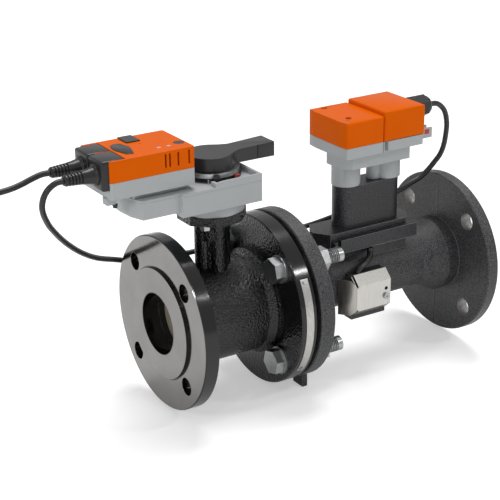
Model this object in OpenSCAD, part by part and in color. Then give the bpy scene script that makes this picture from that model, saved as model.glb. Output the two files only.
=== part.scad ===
// Flanged pressure independent control valve: ball valve, flow sensor and actuator.
// Origin at the centre of the inlet face, +X along the flow, +Z up along the stem.

/* [Pipe line] */
// Bore of the valve and of both pipe connections
bore_d = 65; // [50:1:68]
// Length over both raised faces
total_len = 380; // [376:1:420]
// Diameter of every flange
flange_d = 185; // [183:1:200]
// Thickness of the inlet flange behind its raised face
flange_t = 16; // [12:0.5:20]
// Diameter of the raised faces
raised_d = 118; // [104:1:118]
// Height of the raised faces
raised_t = 3; // [2:0.5:4]
// Circle of the flange holes
bolt_circle_d = 145; // [144:0.5:150]
// Flange holes in each flange
bolt_count = 4; // [4:4:8]
// Diameter of a flange hole
bolt_hole_d = 19; // [18:0.5:20]

/* [Valve body] */
// Distance from the inlet face to the stem axis
stem_x = 67; // [66:0.5:69]
// Length of the valve body over its two raised faces
valve_len = 138.6; // [137:0.2:142]
// Outer diameter of the cast barrel
barrel_d = 104; // [102:1:110]
// Thickness of the outlet flange of the body
mid_flange_t = 18.6; // [14:0.2:19]
// Diameter of the hub ring behind that flange
hub_ring_d = 114; // [112:1:118]
// Diameter of the ball
ball_d = 86; // [84:0.5:88]
// Bore through the ball
ball_bore_d = 60; // [50:1:62]
// Diameter of the valve stem
stem_d = 18; // [14:0.5:19]
// Height of the mounting pad's underside
pad_z = 104; // [100:1:106]
// Thickness of the mounting pad
pad_t = 9.5; // [8:0.5:12]
// Bolt circle of the mounting pad
pad_circle_d = 50; // [48:0.5:51]

/* [Flow sensor] */
// Thickness of the gasket between the two castings
gasket_t = 2.4; // [1.5:0.1:3]
// Thickness of the sensor's inlet flange
sensor_flange_t = 17.3; // [14:0.1:18]
// Thickness of the outlet flange behind its raised face
end_flange_t = 13.5; // [12:0.5:15]
// Height of the outlet raised face
end_raised_t = 2.5; // [2:0.5:4]
// Outer diameter of the measuring pipe
pipe_d = 63; // [60:1:66]
// Bore of the measuring pipe at its waist
waist_d = 48; // [40:1:50]
// Lowest point of the cast feet below the pipe axis
foot_z = 98.3; // [97:0.1:104]
// Height of the saddle's top above the pipe axis
saddle_z = 60; // [56:1:64]
// Width of the steel cover along the pipe
cover_w = 46; // [40:1:50]

/* [Sensor electronics] */
// Height of the black pillar's top
pillar_z = 107; // [104:1:110]
// Diameter of the pillar's round ends
pillar_d = 28; // [24:1:30]
// Height of the underside of the grey housing
housing_z = 128.7; // [125:0.1:132]
// Height where the orange covers begin
cap_seam_z = 158; // [155:0.5:160]
// Height of the lower orange cover
low_cap_h = 27.3; // [20:0.1:30]
// Height of the higher orange cover
high_cap_h = 32.6; // [28:0.1:36]

/* [Actuator] */
// Diameter of the round foot that stands on the pad
foot_d = 66.4; // [62:0.2:68]
// Height of the underside of the gear housing
base_z = 125.5; // [124:0.5:127]
// Height of the top of the gear housing
base_top_z = 149.5; // [148:0.5:151]
// Height of the rim round the indicator recess
rim_z = 154.5; // [153:0.5:155]
// Length of the drive housing
box_len = 92; // [90:1:94]
// Width of the drive housing
box_w = 65; // [62:1:68]
// Height of the underside of the drive housing
box_z = 155; // [154:0.5:156]
// Height of the seam between the grey and the orange shell
box_seam_z = 172; // [168:0.5:174]
// Height of the top of the orange shell
box_top_z = 193.5; // [190:0.5:196]
// Wall of the plastic shells
wall = 2.5; // [2:0.1:3]
// Diameter of the override button
button_d = 11; // [9:0.5:12]
// Travel of the override button
button_travel = 2.5; // [1.5:0.1:3]

/* [Hand lever] */
// Diameter of the lever's hub
lever_hub_d = 49; // [46:0.5:52]
// Height of the hub's underside
lever_z = 158.8; // [158.8:0.1:160]
// Height of the hub
lever_h = 13.8; // [12:0.1:16]
// Distance from the stem axis to the lever's end
lever_reach = 68.5; // [62:0.5:72]
// Width of the lever's arm
lever_w = 24; // [20:0.5:26]
// Outer diameter of the metal ring under the lever
ring_d = 59; // [56:0.5:60]

/* [Gears] */
// Teeth of the output gear
out_teeth = 44; // [44:2:44]
// Teeth of the small wheel that drives it
pinion_teeth = 12; // [12:2:12]
// Module of the output stage
out_module = 1.25; // [1.2:0.01:1.28]
// Teeth of the large wheel on the gear shaft
wheel_teeth = 40; // [40:2:40]
// Teeth on the motor shaft
motor_teeth = 12; // [12:2:12]
// Module of the motor stage
motor_module = 0.8; // [0.78:0.01:0.82]

/* [Fasteners] */
// Thread diameter of the flange bolts
bolt_d = 16; // [14:0.5:16]
// Width across flats of the bolt heads and nuts
bolt_flats = 24; // [22:0.5:24]
// Thickness of a bolt head
bolt_head_t = 10; // [8:0.5:10]
// Thickness of a nut
nut_t = 13; // [11:0.5:14.8]
// Diameter of a washer
washer_d = 30; // [28:0.5:30]
// Thickness of a washer
washer_t = 3; // [2:0.5:3]
// Thread left over beyond each nut
bolt_over = 20.7; // [5:0.1:24]
// Thread diameter of the pad bolts
pad_bolt_d = 6; // [5:0.5:7]

/* [Cables] */
// Diameter of both cables
cable_d = 6; // [5:0.2:6.2]
// Loops of the tied coil on each of its two layers
coil_loops = 1.5; // [1.5:1:2.5]
// Radius of the coil's outer loop
coil_r = 34; // [32:0.5:44]
// Distance between neighbouring loops and layers
coil_pitch = 6.8; // [6.7:0.1:7.4]
// Length of the bare wires at the cable's end
wire_len = 26; // [15:1:40]

/* [Clearances] */
// Radial clearance of a turning or sliding fit
run_gap = 0.08; // [0.04:0.01:0.1]
// Gap between two pieces that are seated on each other
seat_gap = 0.1; // [0.05:0.01:0.2]
// Gap between pieces that pass each other
pass_gap = 0.35; // [0.3:0.05:0.6]
// Small edge break on castings and covers
edge = 1.2; // [0.5:0.1:1.5]

/* [Hidden] */
$fn = 64;

// Colours
cast_black = "#1d1d1f";
sensor_black = "#2e2e30";
plastic_grey = "#95999b";
plastic_orange = "#f5801e";
plastic_black = "#2b2a2b";
zinc = "#c9ceca";
steel = "#b5b3ae";
beige = "#d8c9a6";

// Overrun of every cut, and places along the pipe
cut = 1;
bore_r = bore_d / 2;
flange_r = flange_d / 2;
raised_r = raised_d / 2;
hole_place_r = bolt_circle_d / 2;
barrel_r = barrel_d / 2;
inlet_back_x = raised_t + flange_t;
mid_back_x = valve_len - raised_t;
mid_front_x = mid_back_x - mid_flange_t;
hub_ring_t = 7;
fillet_r = 7;
sensor_x = valve_len + gasket_t;
sensor_back_x = sensor_x + sensor_flange_t;
end_face_x = total_len - end_raised_t;
end_front_x = end_face_x - end_flange_t;

// Inside of the valve
ball_r = ball_d / 2;
ball_bore_r = ball_bore_d / 2;
seat_wall = 11;
seat_r = ball_bore_r + seat_wall;
seat_t = 8;
seat_bite = 2;
chamber_gap = 3;
insert_step = 1.1;
insert_lap = 1;
seat_reach = sqrt(ball_r * ball_r - ball_bore_r * ball_bore_r);
chamber_r = ball_r + chamber_gap;
insert_r = chamber_r + insert_step;
inlet_seat_x = stem_x - seat_reach - seat_t + seat_bite;
outlet_seat_x = stem_x + seat_reach + seat_t - seat_bite;
insert_x = stem_x + seat_reach - insert_lap;
disc_t = 4;
disc_lip = 3;
disc_x = inlet_seat_x - disc_t - seat_gap;
dome_r = ball_r + pass_gap;
window_share = 0.8;
pilot_share = 0.35;
groove_w = 1.5;
groove_depth = 1;
groove_x = stem_x - dome_r - disc_t - groove_w - seat_gap;
gasket_step = 1;
mid_hole_d = 17.5;

// Stem and neck
stem_r = stem_d / 2;
collar_step = 4;
collar_r = stem_r + collar_step;
collar_z = ball_r + seat_gap;
collar_t = 5;
washer_ring_t = 1.5;
tang_w = 10;
tang_len = 24;
tang_depth = 8;
stem_top_z = 150;
oring_d = 2.1;
neck_r = 15;
neck_slab_w = 18;
neck_len_x = 40;
neck_len_y = 38;
neck_ring_r = 17;
neck_ring_z = 82;
neck_ring_t = 13;
pad_top_z = pad_z + pad_t;
pad_r = 33;
pad_bolt_r = pad_bolt_d / 2;
pad_head_t = 5.5;
pad_head_flats = 10;
pad_bolt_grip = 8;
pad_place = pad_circle_d / 2;

// Sensor casting
pipe_r = pipe_d / 2;
sensor_hub_r = 42;
sensor_taper = 42;
waist_r = waist_d / 2;
waist_front_len = 50;
waist_back_len = 60;
waist_front_x = sensor_x + waist_front_len;
waist_back_x = end_face_x - waist_back_len;
foot_w = 18;
foot_gap = 22;
foot_t = 6.3;
foot_root = 12;
saddle_x = 190.6;
saddle_len = 123;
saddle_w = 40;
saddle_nose = 11;
saddle_nose_w = 7;
saddle_low_z = 20;
bar_x = 212;
bar_len = 102;
bar_y = 26;
bar_z = 37.5;
bar_h = 16;
stub_d = 6;
stub_x = 206;
stub_z = 46;
bar_edge = 1;

// Label strip, its ends as angles round the pipe axis from straight down
label_w = 9;
label_sheet = 0.5;
label_from = 239;
label_to = 308;
rivet_inset = 2;
label_x = mid_front_x + mid_flange_t / 2 - label_w / 2;
rivet_r = 2.2;
rivet_t = 1.2;

// Steel cover and the block behind it
cover_x = 215;
cover_y = 50;
cover_front_z = 7;
cover_front_low_z = -22;
cover_top_z = 17;
cover_low_z = -30;
cover_bevel = 10;
cover_side_y = 29;
cover_sheet = 1.2;
block_low_z = -35;
block_inner_y = 22;
block_front_gap = 2;
block_front_y = cover_y - cover_sheet - block_front_gap;
transducer_d = 12;
transducer_depth = 5;
cover_screw_d = 4;
dome_share = 1.8;
cover_screw_inset = 6;
cover_screw_pitch = 9;
slot_w = 1.6;
pocket_cable_d = 7;

// Electronics head
pillar_r = pillar_d / 2;
pillar_x = 234;
pillar_pitch = 54;
post_r = 15.7;
post_x = 235;
post_pitch = 53.7;
post_boss_r = 7.7;
post_boss_x = 271.5;
step_x = 219;
step_len = 85;
step_w = 44.6;
step_chamfer = 9;
step_box_t = 12;
low_box_x = 209.5;
low_box_len = 50.5;
low_box_w = 70;
high_box_x = 265;
high_box_len = 49.5;
high_box_w = 67;
high_seam_drop = 1;
link_inset = 6;
box_facet = 12.5;
box_setback = 1.3;
screw_well_d = 7;
well_in_x = 15.8;
well_near_y = 17;
well_far_y = 28;
cap_screw_d = 3;
cap_screw_len = 8;
screw_head_share = 0.7;
screw_lap_share = 0.2;
socket_floor_share = 0.3;
socket_share = 0.8;
board_inset = 4.5;
board_left_x = low_box_x + board_inset;
electronics_board_len = high_box_x + high_box_len - board_inset - board_left_x;
electronics_board_w = 44;
chip_share = 0.65;
gland_z = 177;
gland_flats = 22;
gland_len = 9;
gland_neck_r = 8;
gland_nut_len = 15;
sleeve_gap = 0.5;
dome_len = 7.3;
tab_len = 16;
tab_w = 12;
tab_y = -20;
tab_z = 149;
tab_h = 11;

// Actuator foot, gear housing and its cover
foot_r = foot_d / 2;
hub_r = 14;
bush_wall = 4;
bush_r = hub_r + bush_wall;
arm_left_x = -37;
arm_w = 72;
arm_z = 130;
arm_corner_x = -30;
arm_bend_x = -35.5;
arm_bend_y = 20;
base_x = 11;
base_right_x = 102.5;
base_near_y = -41;
base_round_r = 35.5;
cover_seam_z = base_top_z - wall;
step_up_x = 48.5;
step_up = 4;
rim_slope_x = 58;
rim_w = 3;
recess_floor_z = base_top_z + seat_gap;
scale_in_r = 24;
scale_out_r = 31;
scale_t = 0.6;
marker_angle = -62;
marker_r = 29.9;
marker_len = 5;
marker_w = 6;
marker_z = 152;
marker_t = 1.9;

// Drive hub, ring, lever and end stops
hub_lift = 1;
hub_z = pad_top_z + hub_lift;
hub_top_z = lever_z - seat_gap;
spigot_r = 10;
spigot_len = 8;
ring_z = 154;
ring_t = 4.5;
tab_angle = -5.7;
stop_tab_w = 4;
stop_tab_in_r = 21;
stop_tab_out_r = 28.8;
lever_arm_low = 0.8;
lever_rise = 2.2;
lever_taper = 1;
lever_end_w = lever_w + lever_taper;
lever_neck_w = lever_w - lever_taper;
lever_waist = 27;
hub_shares = [[0, 0.96], [0.34, 0.9], [0.78, 0.62]];
stop_angle = 5.5;
stop_near_angle = -109.5;
stop_w = 7;
stop_nose_w = 3;
slot_sweep = 32;
stop_in_r = 24.6;
stop_out_r = 31.9;
stop_near_out_r = 36.2;
stop_low_z = recess_floor_z + scale_t + seat_gap;
stop_top_z = 156.4;
stop_nut_share = 0.45;
stop_nut_t = 1.6;

// Gears, each with a tip and root cut to clear its mate
tip_share = 0.75;
root_share = 1.1;
pressure_angle = 25;
tooth_slack = 0.1;
out_pitch_r = out_module * out_teeth / 2;
pinion_pitch_r = out_module * pinion_teeth / 2;
wheel_pitch_r = motor_module * wheel_teeth / 2;
motor_pitch_r = motor_module * motor_teeth / 2;
gear_shaft_x = stem_x - out_pitch_r - pinion_pitch_r;
motor_x = gear_shaft_x - wheel_pitch_r - motor_pitch_r;
gear_t = 6;
out_gear_z = 132.9;
wheel_t = 4;
wheel_lift = 1.2;
wheel_z = out_gear_z + gear_t + wheel_lift;
gear_pin_r = 2.5;
motor_r = 14;
motor_z = box_z + wall;
motor_h = 19;
motor_shaft_r = 1.5;

// Drive housing, its cap and what lies in it
box_ring_gap = 6.5;
box_right_x = stem_x - ring_d / 2 - box_ring_gap;
box_x = box_right_x - box_len;
pedestal_inset = 7;
pedestal_len = 58;
vent_xs_shares = [0.64, 0.69, 0.79, 0.92];
vent_w = 1.8;
vent_h = 15;
button_x = 24;
button_y = -13;
button_r = button_d / 2;
button_stem_r = 3;
signal_d = 4.4;
signal_x = 0.2;
signal_pitch = 10.8;
signal_y = -16.2;
signal_travel = 0.6;
switch_top_z = box_top_z - wall - 2 * signal_travel - pass_gap;
board_z = 179.5;
board_t = 1.6;
board_x = -20;
board_len = 48;
board_w = 54;
stand_x_share = 0.15;
stand_y_share = 0.3;
spring_r = 4.2;
spring_wire = 0.8;
spring_turns = 4;
socket_x = -20;
socket_y = 12.5;
socket_len = 15;
socket_w = 20;

// Plugs
plug_out = 7.5;
plug_x = box_x - plug_out;
plug_len = 25.5;
plug_w = 28.8;
plug_y = 15;
plug_z = 164;
plug_h = 29.8;
plug_axis_z = 178;
collar_len = 3.5;
collar_d = 19;
boot_len = 33.5;
boot_x = plug_x - boot_len;
boot_d = 12;
boot_tip_d = 9;

// Feet of the stem and of the cable coil on the floor line
floor_z = -foot_z;
cable_r = cable_d / 2;
coil_x = -264;
drop_y = 76;
coil_centre = [coil_x, drop_y - coil_r];
coil_turns = 2 * coil_loops + 0.5;
coil_steps = 24;
coil_sides = 6;
wire_d = 1.6;
wire_share = 0.8;
wire_count = 4;

// Route of the cable from the near plug to the electronics gland
sensor_route = [
  [-102, -15, 178], [-107, -15, 178], [-112.4, -15, 176.2], [-117.2, -14.5, 172.6], [-120.4, -13, 167.3],
  [-121.7, -10.2, 160.6], [-120.8, -5.8, 152.2], [-117.2, 0, 142.8], [-111.2, 7.6, 132.4],
  [-103.2, 16.4, 121],
  [-82.6, 35.8, 97.4], [-58, 54.6, 74.6], [-30.8, 73.2, 55.4], [-1.6, 88.4, 41.6], [29, 94.4, 31],
  [62, 96, 27.6], [96, 96, 26], [120, 96, 26], [144, 96, 26], [166, 94, 26],
  [190, 88, 28], [214, 81, 31], [236, 73, 35], [254, 61, 43], [272, 48, 53],
  [290, 34, 63], [304, 24, 70], [319, 16, 77], [334, 13, 84], [347, 12, 89],
  [357, 11, 96], [365, 10, 104], [372, 9, 112], [376, 8, 122], [377, 6, 136],
  [376, 4, 150], [371, 2, 164], [364, 1, 172], [356, 0, 176.4], [346.3, 0, 177]
];

// Route of the short cable between the bar and the transducer block
pocket_route = [
  [251, -24.2, 37.2], [251, -24.2, 34.5], [250, -26.2, 31.8], [247, -29.8, 29.3], [242, -32.8, 26.8],
  [236, -35, 24.6], [230, -36.2, 22.4], [227.2, -36.5, 20.6], [226, -36.5, 18.6], [226, -36.5, 16.2]
];

// Route of the supply cable, which drops to the floor line beyond the picture
supply_route = [
  [-102, 15, 178], [-110, 15, 178], [-120, 15, 175.6], [-130, 15, 172.4], [-141, 15, 169.8],
  [-153, 15, 168.5], [-167, 16.5, 167], [-180, 20.5, 162.5], [-190, 27.5, 153.5], [-196.5, 36.5, 141],
  [-200.5, 46, 127], [-203.5, 55, 112.5], [-206, 63, 97], [-208, 69.5, 81], [-209.5, 73.8, 64.5],
  [-210, 75.6, 47.5], [-210, 76, 30.5], [-210, 76, 13.5], [-210.5, 76, -3.5], [-211, 76, -20],
  [-212, 76, -35], [-214, 76, -49], [-217.5, 76, -62], [-223, 76, -74], [-232, 76, -85],
  [-244, 76, -92.4], [-256, 76, -95.3], [-264, 76, -95.3]
];

// Places children along the pipe axis, their own axis along +X
module along_x(x) {
  translate([x, 0, 0]) rotate([0, 90, 0]) children();
}

// A round rod along the pipe axis
module rod_x(x, len, r) {
  along_x(x) cylinder(h = len, r = r);
}

// A flat ring on the pipe axis
module tube_x(x, len, r, inner) {
  difference() {
    rod_x(x, len, r);
    rod_x(x - cut, len + 2 * cut, inner);
  }
}

// Children at each flange hole, which straddle the centre lines
module at_flange_holes(only = bolt_count) {
  for (i = [0 : only - 1])
    rotate([360 / bolt_count * (i + 0.5), 0, 0]) translate([0, hole_place_r, 0]) children();
}

// Bolt holes through a flange that starts at x
module flange_holes(x, t, d) {
  along_x(x - cut) for (i = [0 : bolt_count - 1]) rotate([0, 0, 360 / bolt_count * (i + 0.5)])
    translate([hole_place_r, 0, 0]) cylinder(h = t + 2 * cut, d = d);
}

// Points of an arc
function arc(c, r, from, to, n = 6) =
  [for (i = [0 : n]) c + r * [cos(from + (to - from) * i / n), sin(from + (to - from) * i / n)]];

// A block with its upright edges rounded
module round_block(size, r) {
  x = size[0];
  y = size[1];
  linear_extrude(size[2]) union() {
    translate([r, 0]) square([x - 2 * r, y]);
    translate([0, r]) square([x, y - 2 * r]);
    for (px = [r, x - r], py = [r, y - r]) translate([px, py]) circle(r);
  }
}

// A slot with round ends along X, centred on its first end
module stadium(r, pitch, h) {
  cylinder(h = h, r = r);
  translate([pitch, 0, 0]) cylinder(h = h, r = r);
  translate([0, -r, 0]) cube([pitch, 2 * r, h]);
}

// Hexagon prism with its flats at a given width
module hex(flats, h) {
  cylinder(h = h, d = flats / cos(30), $fn = 6);
}

// Rim section of a flange from x to x + t, with broken edges, as a list of [radius, x]
function rim(x, t) = [
  [flange_r - edge, x], [flange_r, x + edge], [flange_r, x + t - edge], [flange_r - edge, x + t]
];

// Cast body: inlet flange, barrel, outlet flange, neck and mounting pad
module body_form() {
  along_x(0) rotate_extrude($fn = 96) polygon(concat(
    [[0, 0], [raised_r, 0], [raised_r, raised_t]],
    rim(raised_t, flange_t),
    arc([barrel_r + fillet_r, inlet_back_x + fillet_r], fillet_r, 270, 180, 4),
    [[barrel_r, mid_front_x - 2 * hub_ring_t], [hub_ring_d / 2, mid_front_x - hub_ring_t],
     [hub_ring_d / 2, mid_front_x]],
    rim(mid_front_x, mid_flange_t),
    [[raised_r, mid_back_x], [raised_r, valve_len], [0, valve_len]]
  ));
  translate([stem_x, 0, 0]) {
    cylinder(h = pad_z + cut, r = neck_r);
    linear_extrude(pad_z + cut) union() {
      square([neck_len_x - neck_slab_w, neck_slab_w], center = true);
      for (s = [-1, 1]) translate([s * (neck_len_x - neck_slab_w) / 2, 0]) circle(d = neck_slab_w);
      square([neck_slab_w, neck_len_y - neck_slab_w], center = true);
      for (s = [-1, 1]) translate([0, s * (neck_len_y - neck_slab_w) / 2]) circle(d = neck_slab_w);
    }
    translate([0, 0, neck_ring_z]) cylinder(h = neck_ring_t, r = neck_ring_r);
    translate([0, 0, pad_z]) rotate([0, 0, 22.5]) cylinder(h = pad_t, r = pad_r / cos(22.5), $fn = 8);
  }
}

module at_pad_bolts() {
  for (a = [45 : 90 : 315])
    translate([stem_x, 0, 0]) rotate([0, 0, a]) translate([pad_place, 0, 0]) children();
}

module valve_body() {
  color(cast_black) difference() {
    body_form();
    rod_x(-cut, disc_x + cut + seat_gap, bore_r);
    rod_x(disc_x - seat_gap, insert_x - disc_x, bore_r + disc_lip + seat_gap);
    rod_x(inlet_seat_x - seat_gap, insert_x - inlet_seat_x, seat_r + seat_gap);
    rod_x(groove_x, groove_w, bore_r + groove_depth);
    rod_x(inlet_seat_x + seat_t - seat_bite, insert_x - inlet_seat_x, chamber_r);
    rod_x(insert_x - seat_gap, valve_len, insert_r + seat_gap);
    flange_holes(0, inlet_back_x, bolt_hole_d);
    flange_holes(mid_front_x, mid_flange_t + raised_t, mid_hole_d);
    translate([stem_x, 0, 0]) {
      cylinder(h = pad_top_z + cut, r = stem_r + run_gap);
      cylinder(h = collar_z + collar_t + washer_ring_t + 2 * seat_gap, r = collar_r + run_gap);
    }
    at_pad_bolts() translate([0, 0, pad_z - cut]) cylinder(h = pad_t + 2 * cut, r = pad_bolt_r + seat_gap);
  }
}

module body_insert() {
  color(cast_black) difference() {
    rod_x(insert_x, valve_len - insert_x, insert_r);
    rod_x(insert_x - cut, outlet_seat_x - insert_x + cut + seat_gap, seat_r + seat_gap);
    rod_x(insert_x - cut, valve_len, bore_r);
  }
}

module ball() {
  color(zinc) difference() {
    translate([stem_x, 0, 0]) sphere(ball_r, $fn = 96);
    rod_x(0, valve_len, ball_bore_r);
    translate([stem_x - tang_len / 2 - seat_gap, -tang_w / 2 - seat_gap, ball_r - tang_depth - seat_gap])
      cube([tang_len + 2 * seat_gap, tang_w + 2 * seat_gap, tang_depth + cut]);
  }
}

// A seat ring with its chamfer laid on the ball, drawn for the inlet side
module seat_ring() {
  face = inlet_seat_x + seat_t;
  chamfer = seat_bite + 2 * run_gap;
  color(beige) along_x(0) rotate_extrude($fn = 96) polygon([
    [ball_bore_r, inlet_seat_x], [seat_r, inlet_seat_x], [seat_r, face], [ball_bore_r + chamfer, face],
    [ball_bore_r, face - chamfer]
  ]);
}

module seat_rings() {
  seat_ring();
  translate([2 * stem_x, 0, 0]) mirror([1, 0, 0]) seat_ring();
}

// Domed disc round the ball's face, with the V-shaped window that shapes the flow curve
module characterising_disc() {
  back = disc_x + disc_t;
  window_r = bore_r * window_share;
  color(beige) difference() {
    along_x(0) rotate_extrude($fn = 96) polygon(concat(
      arc([0, stem_x], dome_r, 270, 270 + acos((stem_x - back) / dome_r), 5),
      [[bore_r + disc_lip, back], [bore_r + disc_lip, disc_x]],
      arc([0, stem_x], dome_r + disc_t, 270 + acos((stem_x - disc_x) / (dome_r + disc_t)), 270, 5)
    ));
    along_x(0) linear_extrude(back + cut) {
      circle(window_r * pilot_share);
      intersection() {
        circle(window_r);
        polygon([[0, 0], [-window_r, -window_r], [-window_r, window_r]]);
      }
    }
  }
}

module stem() {
  color(zinc) translate([stem_x, 0, 0]) difference() {
    union() {
      translate([-tang_len / 2, -tang_w / 2, ball_r - tang_depth])
        cube([tang_len, tang_w, tang_depth + 2 * seat_gap]);
      translate([0, 0, collar_z]) cylinder(h = collar_t, r = collar_r);
      translate([0, 0, collar_z]) cylinder(h = stem_top_z - collar_z, r = stem_r);
    }
    for (z = oring_places()) translate([0, 0, z]) rotate_extrude()
      translate([stem_r - oring_d, -oring_d / 2 - seat_gap / 2]) square([oring_d + cut, oring_d + seat_gap]);
  }
}

// Heights of the two O-rings in the neck
function oring_places() = [pad_z - neck_ring_t - 2 * oring_d, pad_z - neck_ring_t + 2 * oring_d];

// Two O-rings in the neck and the thrust washer on the stem's collar
module stem_seals() {
  color("#202020") for (z = oring_places()) translate([stem_x, 0, z]) rotate_extrude()
    translate([stem_r - oring_d / 2 + seat_gap / 4, 0]) circle(d = oring_d - seat_gap, $fn = 24);
  color(beige) translate([stem_x, 0, collar_z + collar_t + seat_gap]) difference() {
    cylinder(h = washer_ring_t, r = collar_r);
    translate([0, 0, -cut]) cylinder(h = washer_ring_t + 2 * cut, r = stem_r + run_gap);
  }
}

module flange_gasket() {
  color("#3b3f3c") tube_x(valve_len, gasket_t, raised_r, bore_r + gasket_step);
}

// Four bolts that clamp the sensor's flange to the body
module flange_bolts() {
  grip = mid_flange_t + raised_t + gasket_t + sensor_flange_t;
  color(zinc) at_flange_holes() rotate([0, 90, 0]) {
    translate([0, 0, mid_front_x - washer_t - bolt_head_t]) rotate([0, 0, 30]) hex(bolt_flats, bolt_head_t);
    translate([0, 0, mid_front_x - washer_t - bolt_head_t / 2])
      cylinder(h = bolt_head_t / 2 + washer_t + grip + nut_t + bolt_over, d = bolt_d);
  }
}

module flange_washers() {
  color(zinc) at_flange_holes() rotate([0, 90, 0]) translate([0, 0, mid_front_x - washer_t]) difference() {
    cylinder(h = washer_t, d = washer_d);
    translate([0, 0, -cut]) cylinder(h = washer_t + 2 * cut, d = bolt_d + 2 * seat_gap);
  }
}

module flange_nuts() {
  color(zinc) at_flange_holes() rotate([0, 90, 0]) translate([0, 0, sensor_back_x]) difference() {
    rotate([0, 0, 15]) hex(bolt_flats, nut_t);
    translate([0, 0, -cut]) cylinder(h = nut_t + 2 * cut, d = bolt_d + 2 * run_gap);
  }
}

// Hexagon bolts that reach up through the pad into the actuator's foot
module pad_bolts() {
  color(zinc) at_pad_bolts() {
    translate([0, 0, pad_z - pad_head_t]) hex(pad_head_flats, pad_head_t);
    translate([0, 0, pad_z]) cylinder(h = pad_t + pad_bolt_grip, r = pad_bolt_r);
  }
}

// Bare steel strip round the near side of the body's outlet flange
module label_strip() {
  color(steel) along_x(label_x) difference() {
    rotate([0, 0, label_from]) rotate_extrude(angle = label_to - label_from, $fn = 96)
      translate([flange_r + run_gap, 0]) square([label_sheet, label_w]);
    at_label_rivets() cylinder(h = flange_r + raised_r, r = rivet_r / 2 + seat_gap);
  }
}

// The two rivets stand radially, near the ends of the strip
module at_label_rivets() {
  for (a = [label_from + rivet_inset, label_to - rivet_inset])
    rotate([0, 0, a]) translate([0, 0, label_w / 2]) rotate([0, 90, 0]) children();
}

module label_rivets() {
  color(zinc) along_x(label_x) at_label_rivets() {
    translate([0, 0, flange_r + 2 * run_gap + label_sheet]) cylinder(h = rivet_t, r = rivet_r);
    translate([0, 0, flange_r + run_gap]) cylinder(h = label_sheet + rivet_t, r = rivet_r / 2);
  }
}

// Cast sensor body: flange on two feet, measuring pipe with its waist, end flange
module sensor_form() {
  along_x(0) rotate_extrude($fn = 96) polygon(concat(
    [[0, sensor_x]],
    rim(sensor_x, sensor_flange_t),
    [[sensor_hub_r, sensor_back_x], [sensor_hub_r, sensor_back_x + edge],
     [pipe_r, sensor_back_x + sensor_taper], [pipe_r, end_front_x - sensor_taper],
     [sensor_hub_r, end_front_x - sensor_taper / 3], [sensor_hub_r, end_front_x]],
    rim(end_front_x, end_flange_t),
    [[raised_r, end_face_x], [raised_r, total_len], [0, total_len]]
  ));
  for (s = [-1, 1]) translate([sensor_back_x - foot_t, s * (foot_gap + foot_w / 2) - foot_w / 2, floor_z])
    cube([foot_t, foot_w, foot_z - flange_r + foot_root]);
}

module sensor_casting() {
  color(sensor_black) difference() {
    sensor_form();
    along_x(0) rotate_extrude($fn = 96) polygon([
      [0, sensor_x - cut], [bore_r, sensor_x - cut], [bore_r, sensor_x + flange_t],
      [waist_r, waist_front_x], [waist_r, waist_back_x], [bore_r, end_front_x - raised_t],
      [bore_r, total_len + cut], [0, total_len + cut]
    ]);
    flange_holes(sensor_x, sensor_flange_t, mid_hole_d);
    flange_holes(end_front_x, end_flange_t, bolt_hole_d);
    for (t = transducer_places()) translate(t) rotate([90, 0, 0])
      cylinder(h = block_inner_y, d = transducer_d + 2 * seat_gap);
  }
}

// Centres of the two ultrasonic transducers on the near wall of the pipe
function transducer_places() = [for (s = [-1, 1])
  [cover_x + cover_w / 2 + s * cover_w / 4, transducer_depth - waist_r,
   (cover_front_z + cover_front_low_z) / 2]];

// Black saddle on the pipe, with a nose towards the valve
module sensor_saddle() {
  color("#242426") difference() {
    translate([0, 0, saddle_low_z]) linear_extrude(saddle_z - saddle_low_z) polygon([
      [saddle_x, -saddle_nose_w / 2], [saddle_x + saddle_nose, -saddle_w / 2],
      [saddle_x + saddle_len - saddle_nose, -saddle_w / 2], [saddle_x + saddle_len, -saddle_nose_w],
      [saddle_x + saddle_len, saddle_nose_w], [saddle_x + saddle_len - saddle_nose, saddle_w / 2],
      [saddle_x + saddle_nose, saddle_w / 2], [saddle_x, saddle_nose_w / 2]
    ]);
    along_x(0) rotate_extrude($fn = 96) polygon([
      [0, sensor_back_x], [sensor_hub_r + seat_gap, sensor_back_x],
      [pipe_r + seat_gap, sensor_back_x + sensor_taper], [pipe_r + seat_gap, end_front_x - sensor_taper],
      [sensor_hub_r + seat_gap, end_front_x - sensor_taper / 3], [0, end_front_x]
    ]);
  }
}

// Smooth bar along the saddle's near side, with a stub at its left end
module cable_bar() {
  color("#242426") difference() {
    union() {
      translate([bar_x, -bar_y, bar_z]) cube([bar_len, bar_y - saddle_w / 2 - seat_gap, bar_h]);
      translate([stub_x, -bar_y + stub_d / 2, bar_z]) cylinder(h = stub_z - bar_z + stub_d, d = stub_d);
      translate([stub_x, -bar_y, bar_z]) cube([bar_x - stub_x + cut, stub_d, stub_d]);
    }
    translate([bar_x - cut, -bar_y - cut, bar_z - cut])
      cube([bar_len + 2 * cut, cut + bar_edge, cut + bar_edge]);
  }
}

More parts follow.
